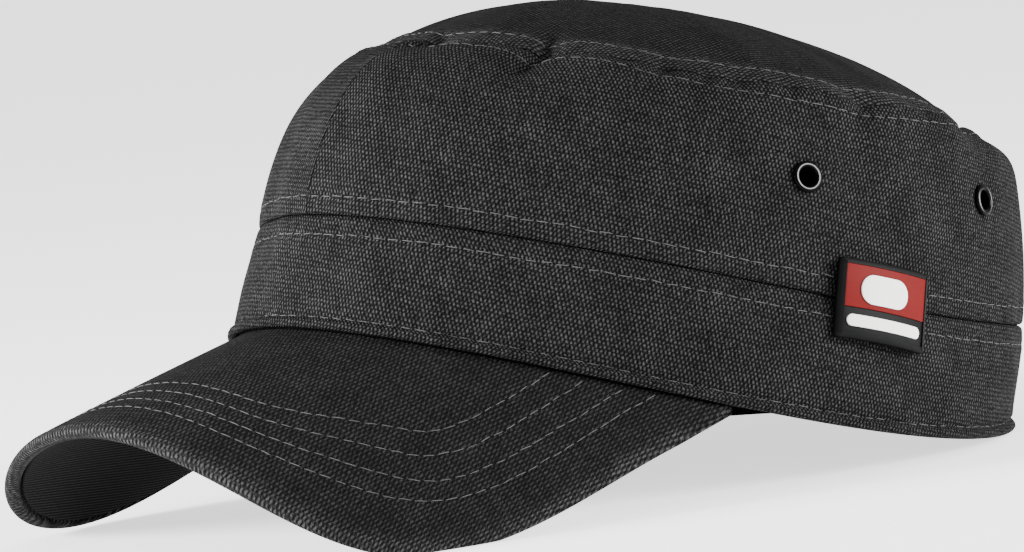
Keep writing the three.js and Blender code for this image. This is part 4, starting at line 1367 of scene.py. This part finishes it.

# %% [markdown]
# ## Thread, lacquer and rubber
#
# The thread is a little lighter than the cloth. The eyelets are glossy black lacquer, with a pale ring
# painted on the crest of the roll as a highlight, and without reflection in the barrel, as painted
# shade in the hole. The label is moulded rubber: satin, with a very fine grain from the mould.

# %% Thread, lacquer and rubber
def grainy_finish(name, colour, roughness, shine=0.06, grain=0.15, bump=0.02, scale=2500.0, spread=0.25):
    finish = Finish(name)
    place = finish.nodes.new("ShaderNodeTexCoord").outputs["Object"]
    speck = finish.noise(place, scale)
    broad = finish.noise(place, scale / 12, 3.0)
    fine = finish.calculate("MULTIPLY", speck, grain)
    shade = finish.calculate("MULTIPLY_ADD", broad, grain, fine)
    darker = tuple(value * (1 - spread) for value in colour)
    lighter = tuple(min(1, value * (1 + spread)) for value in colour)
    factor = finish.calculate("MULTIPLY_ADD", shade, 1.0 / grain, -0.5, clamp=True)
    rough = finish.calculate("MULTIPLY_ADD", speck, 0.12, roughness - 0.06)
    finish.surface(finish.mixed(factor, darker, lighter), rough, shine)
    finish.bump(speck, bump)
    return finish


def lacquer_material(name, black, highlight_colour, shine=0.03):
    finish = grainy_finish(name, black, 0.25, bump=0.002)
    # no reflection where the barrel is sunken: painted shade in the hole
    gleam = finish.calculate("MULTIPLY_ADD", finish.attribute("sunken"), -shine, shine, clamp=True)
    # the pale ring on the crest is a painted highlight
    highlighted = finish.mixed(finish.attribute("rubbed"), black, highlight_colour)
    finish.give(finish.shader, {"Base Color": highlighted, "Specular IOR Level": gleam})
    return finish.material


thread = grainy_finish("grey_thread", grey(0.068), 0.75, bump=0.03, scale=3500.0, spread=0.45).material
# grey(0.34) is the painted highlight on the crest of the roll
lacquer = lacquer_material("black_lacquer", grey(0.0010), grey(0.34))
rim_rubber = grainy_finish("dark_rubber", (0.0036, 0.0037, 0.0038), 0.55).material
red_rubber = grainy_finish("red_rubber", (0.108, 0.0090, 0.0085), 0.5, shine=0.03, spread=0.1).material
pale_rubber = grainy_finish("pale_rubber", (0.80, 0.79, 0.76), 0.5, spread=0.06).material
print("trim:", thread.name, lacquer.name, rim_rubber.name, red_rubber.name, pale_rubber.name)


# %% [markdown]
# ## Dressing the frame
#
# The allowances are joined to their panels and the dark panel to the label's rim, since each of them
# is one piece on the real cap. Then every piece rides on the one body and takes its material, and the
# solid that it stands for is hidden.

# %% Dressing
def dress(piece, material, slot, *nodes):
    piece.data.materials.clear()
    piece.data.materials.append(material)
    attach(piece, "root")
    if nodes:
        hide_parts(*nodes)


walls[1] = join([walls[1]] + flaps, walls[1].name)
peak = join([peak, peak_flap], peak.name)
label["base"] = join([label["base"], label["panel"]], label["base"].name)
dress(walls[1], canvas, "canvas", "crown_wall_left")
dress(walls[-1], canvas, "canvas", "crown_wall_right")
dress(band, canvas, "canvas", "band")
dress(dome, top_canvas, "canvas", "crown_top")
dress(peak, peak_canvas, "canvas", "peak")
dress(underside, under_cloth, "under_cloth", "peak_underside")
for (side, end), piece in eyelets.items():
    dress(piece, lacquer, "lacquer", f"eyelet_{side}_{end}")
dress(label["base"], rim_rubber, "label_rubber", "label_base")
dress(label["field"], red_rubber, "label_red", "label_field")
dress(label["mark"], pale_rubber, "label_pale", "label_mark")
dress(label["line"], pale_rubber, "label_pale", "label_line")
for row in rows:
    dress(row, thread, "canvas")

# %% [markdown]
# ## Light and floor
#
# The photo's light comes from the front left, low and wide: the front of the band is the lightest
# place, and the top and the peak stay dark. A wide soft lamp stands there, a weaker one fills from
# the back right, and a pale room gives the rest. The floor is pale too and glows softly, so that it
# stays as even as the photo's background.

# %% Floor and room
FLOOR_SIZE, FLOOR_GLOW = 8.0, 1.4

bpy.ops.object.select_all(action="DESELECT")
bpy.ops.mesh.primitive_plane_add(size=FLOOR_SIZE, location=(0, 0, 0))
floor_plane = newest("studio_floor")
pale = Finish("pale_floor")
pale.give(pale.shader, {"Base Color": grey(0.86), "Roughness": 0.8, "Emission Color": grey(1),
                        "Emission Strength": FLOOR_GLOW})
floor_plane.data.materials.append(pale.material)

room = bpy.data.worlds.new("pale_room")
room.use_nodes = True
background = room.node_tree.nodes["Background"]
background.inputs["Color"].default_value = (1, 1, 1, 1)
background.inputs["Strength"].default_value = 1.0
bpy.context.scene.world = room
print("floor and room are set")

# %% Lamps
LAMP_ELEVATION, LAMP_DISTANCE, LAMP_SIZE = math.radians(14), 1.2, 0.45
LAMP_TARGET = Vector((0, 0, 0.05))


def lamp(name, azimuth, power):
    data = bpy.data.lights.new(name, "AREA")
    data.shape, data.size, data.energy = "DISK", LAMP_SIZE, power
    light = bpy.data.objects.new(name, data)
    bpy.context.scene.collection.objects.link(light)
    way = way_from(math.radians(azimuth), LAMP_ELEVATION)
    light.matrix_world = facing(LAMP_TARGET + way * LAMP_DISTANCE, way)
    return light


lamps = [lamp("front_left_softbox", -25, 62), lamp("back_right_softbox", 128, 32)]
print("lamps:", ", ".join(light.name for light in lamps))
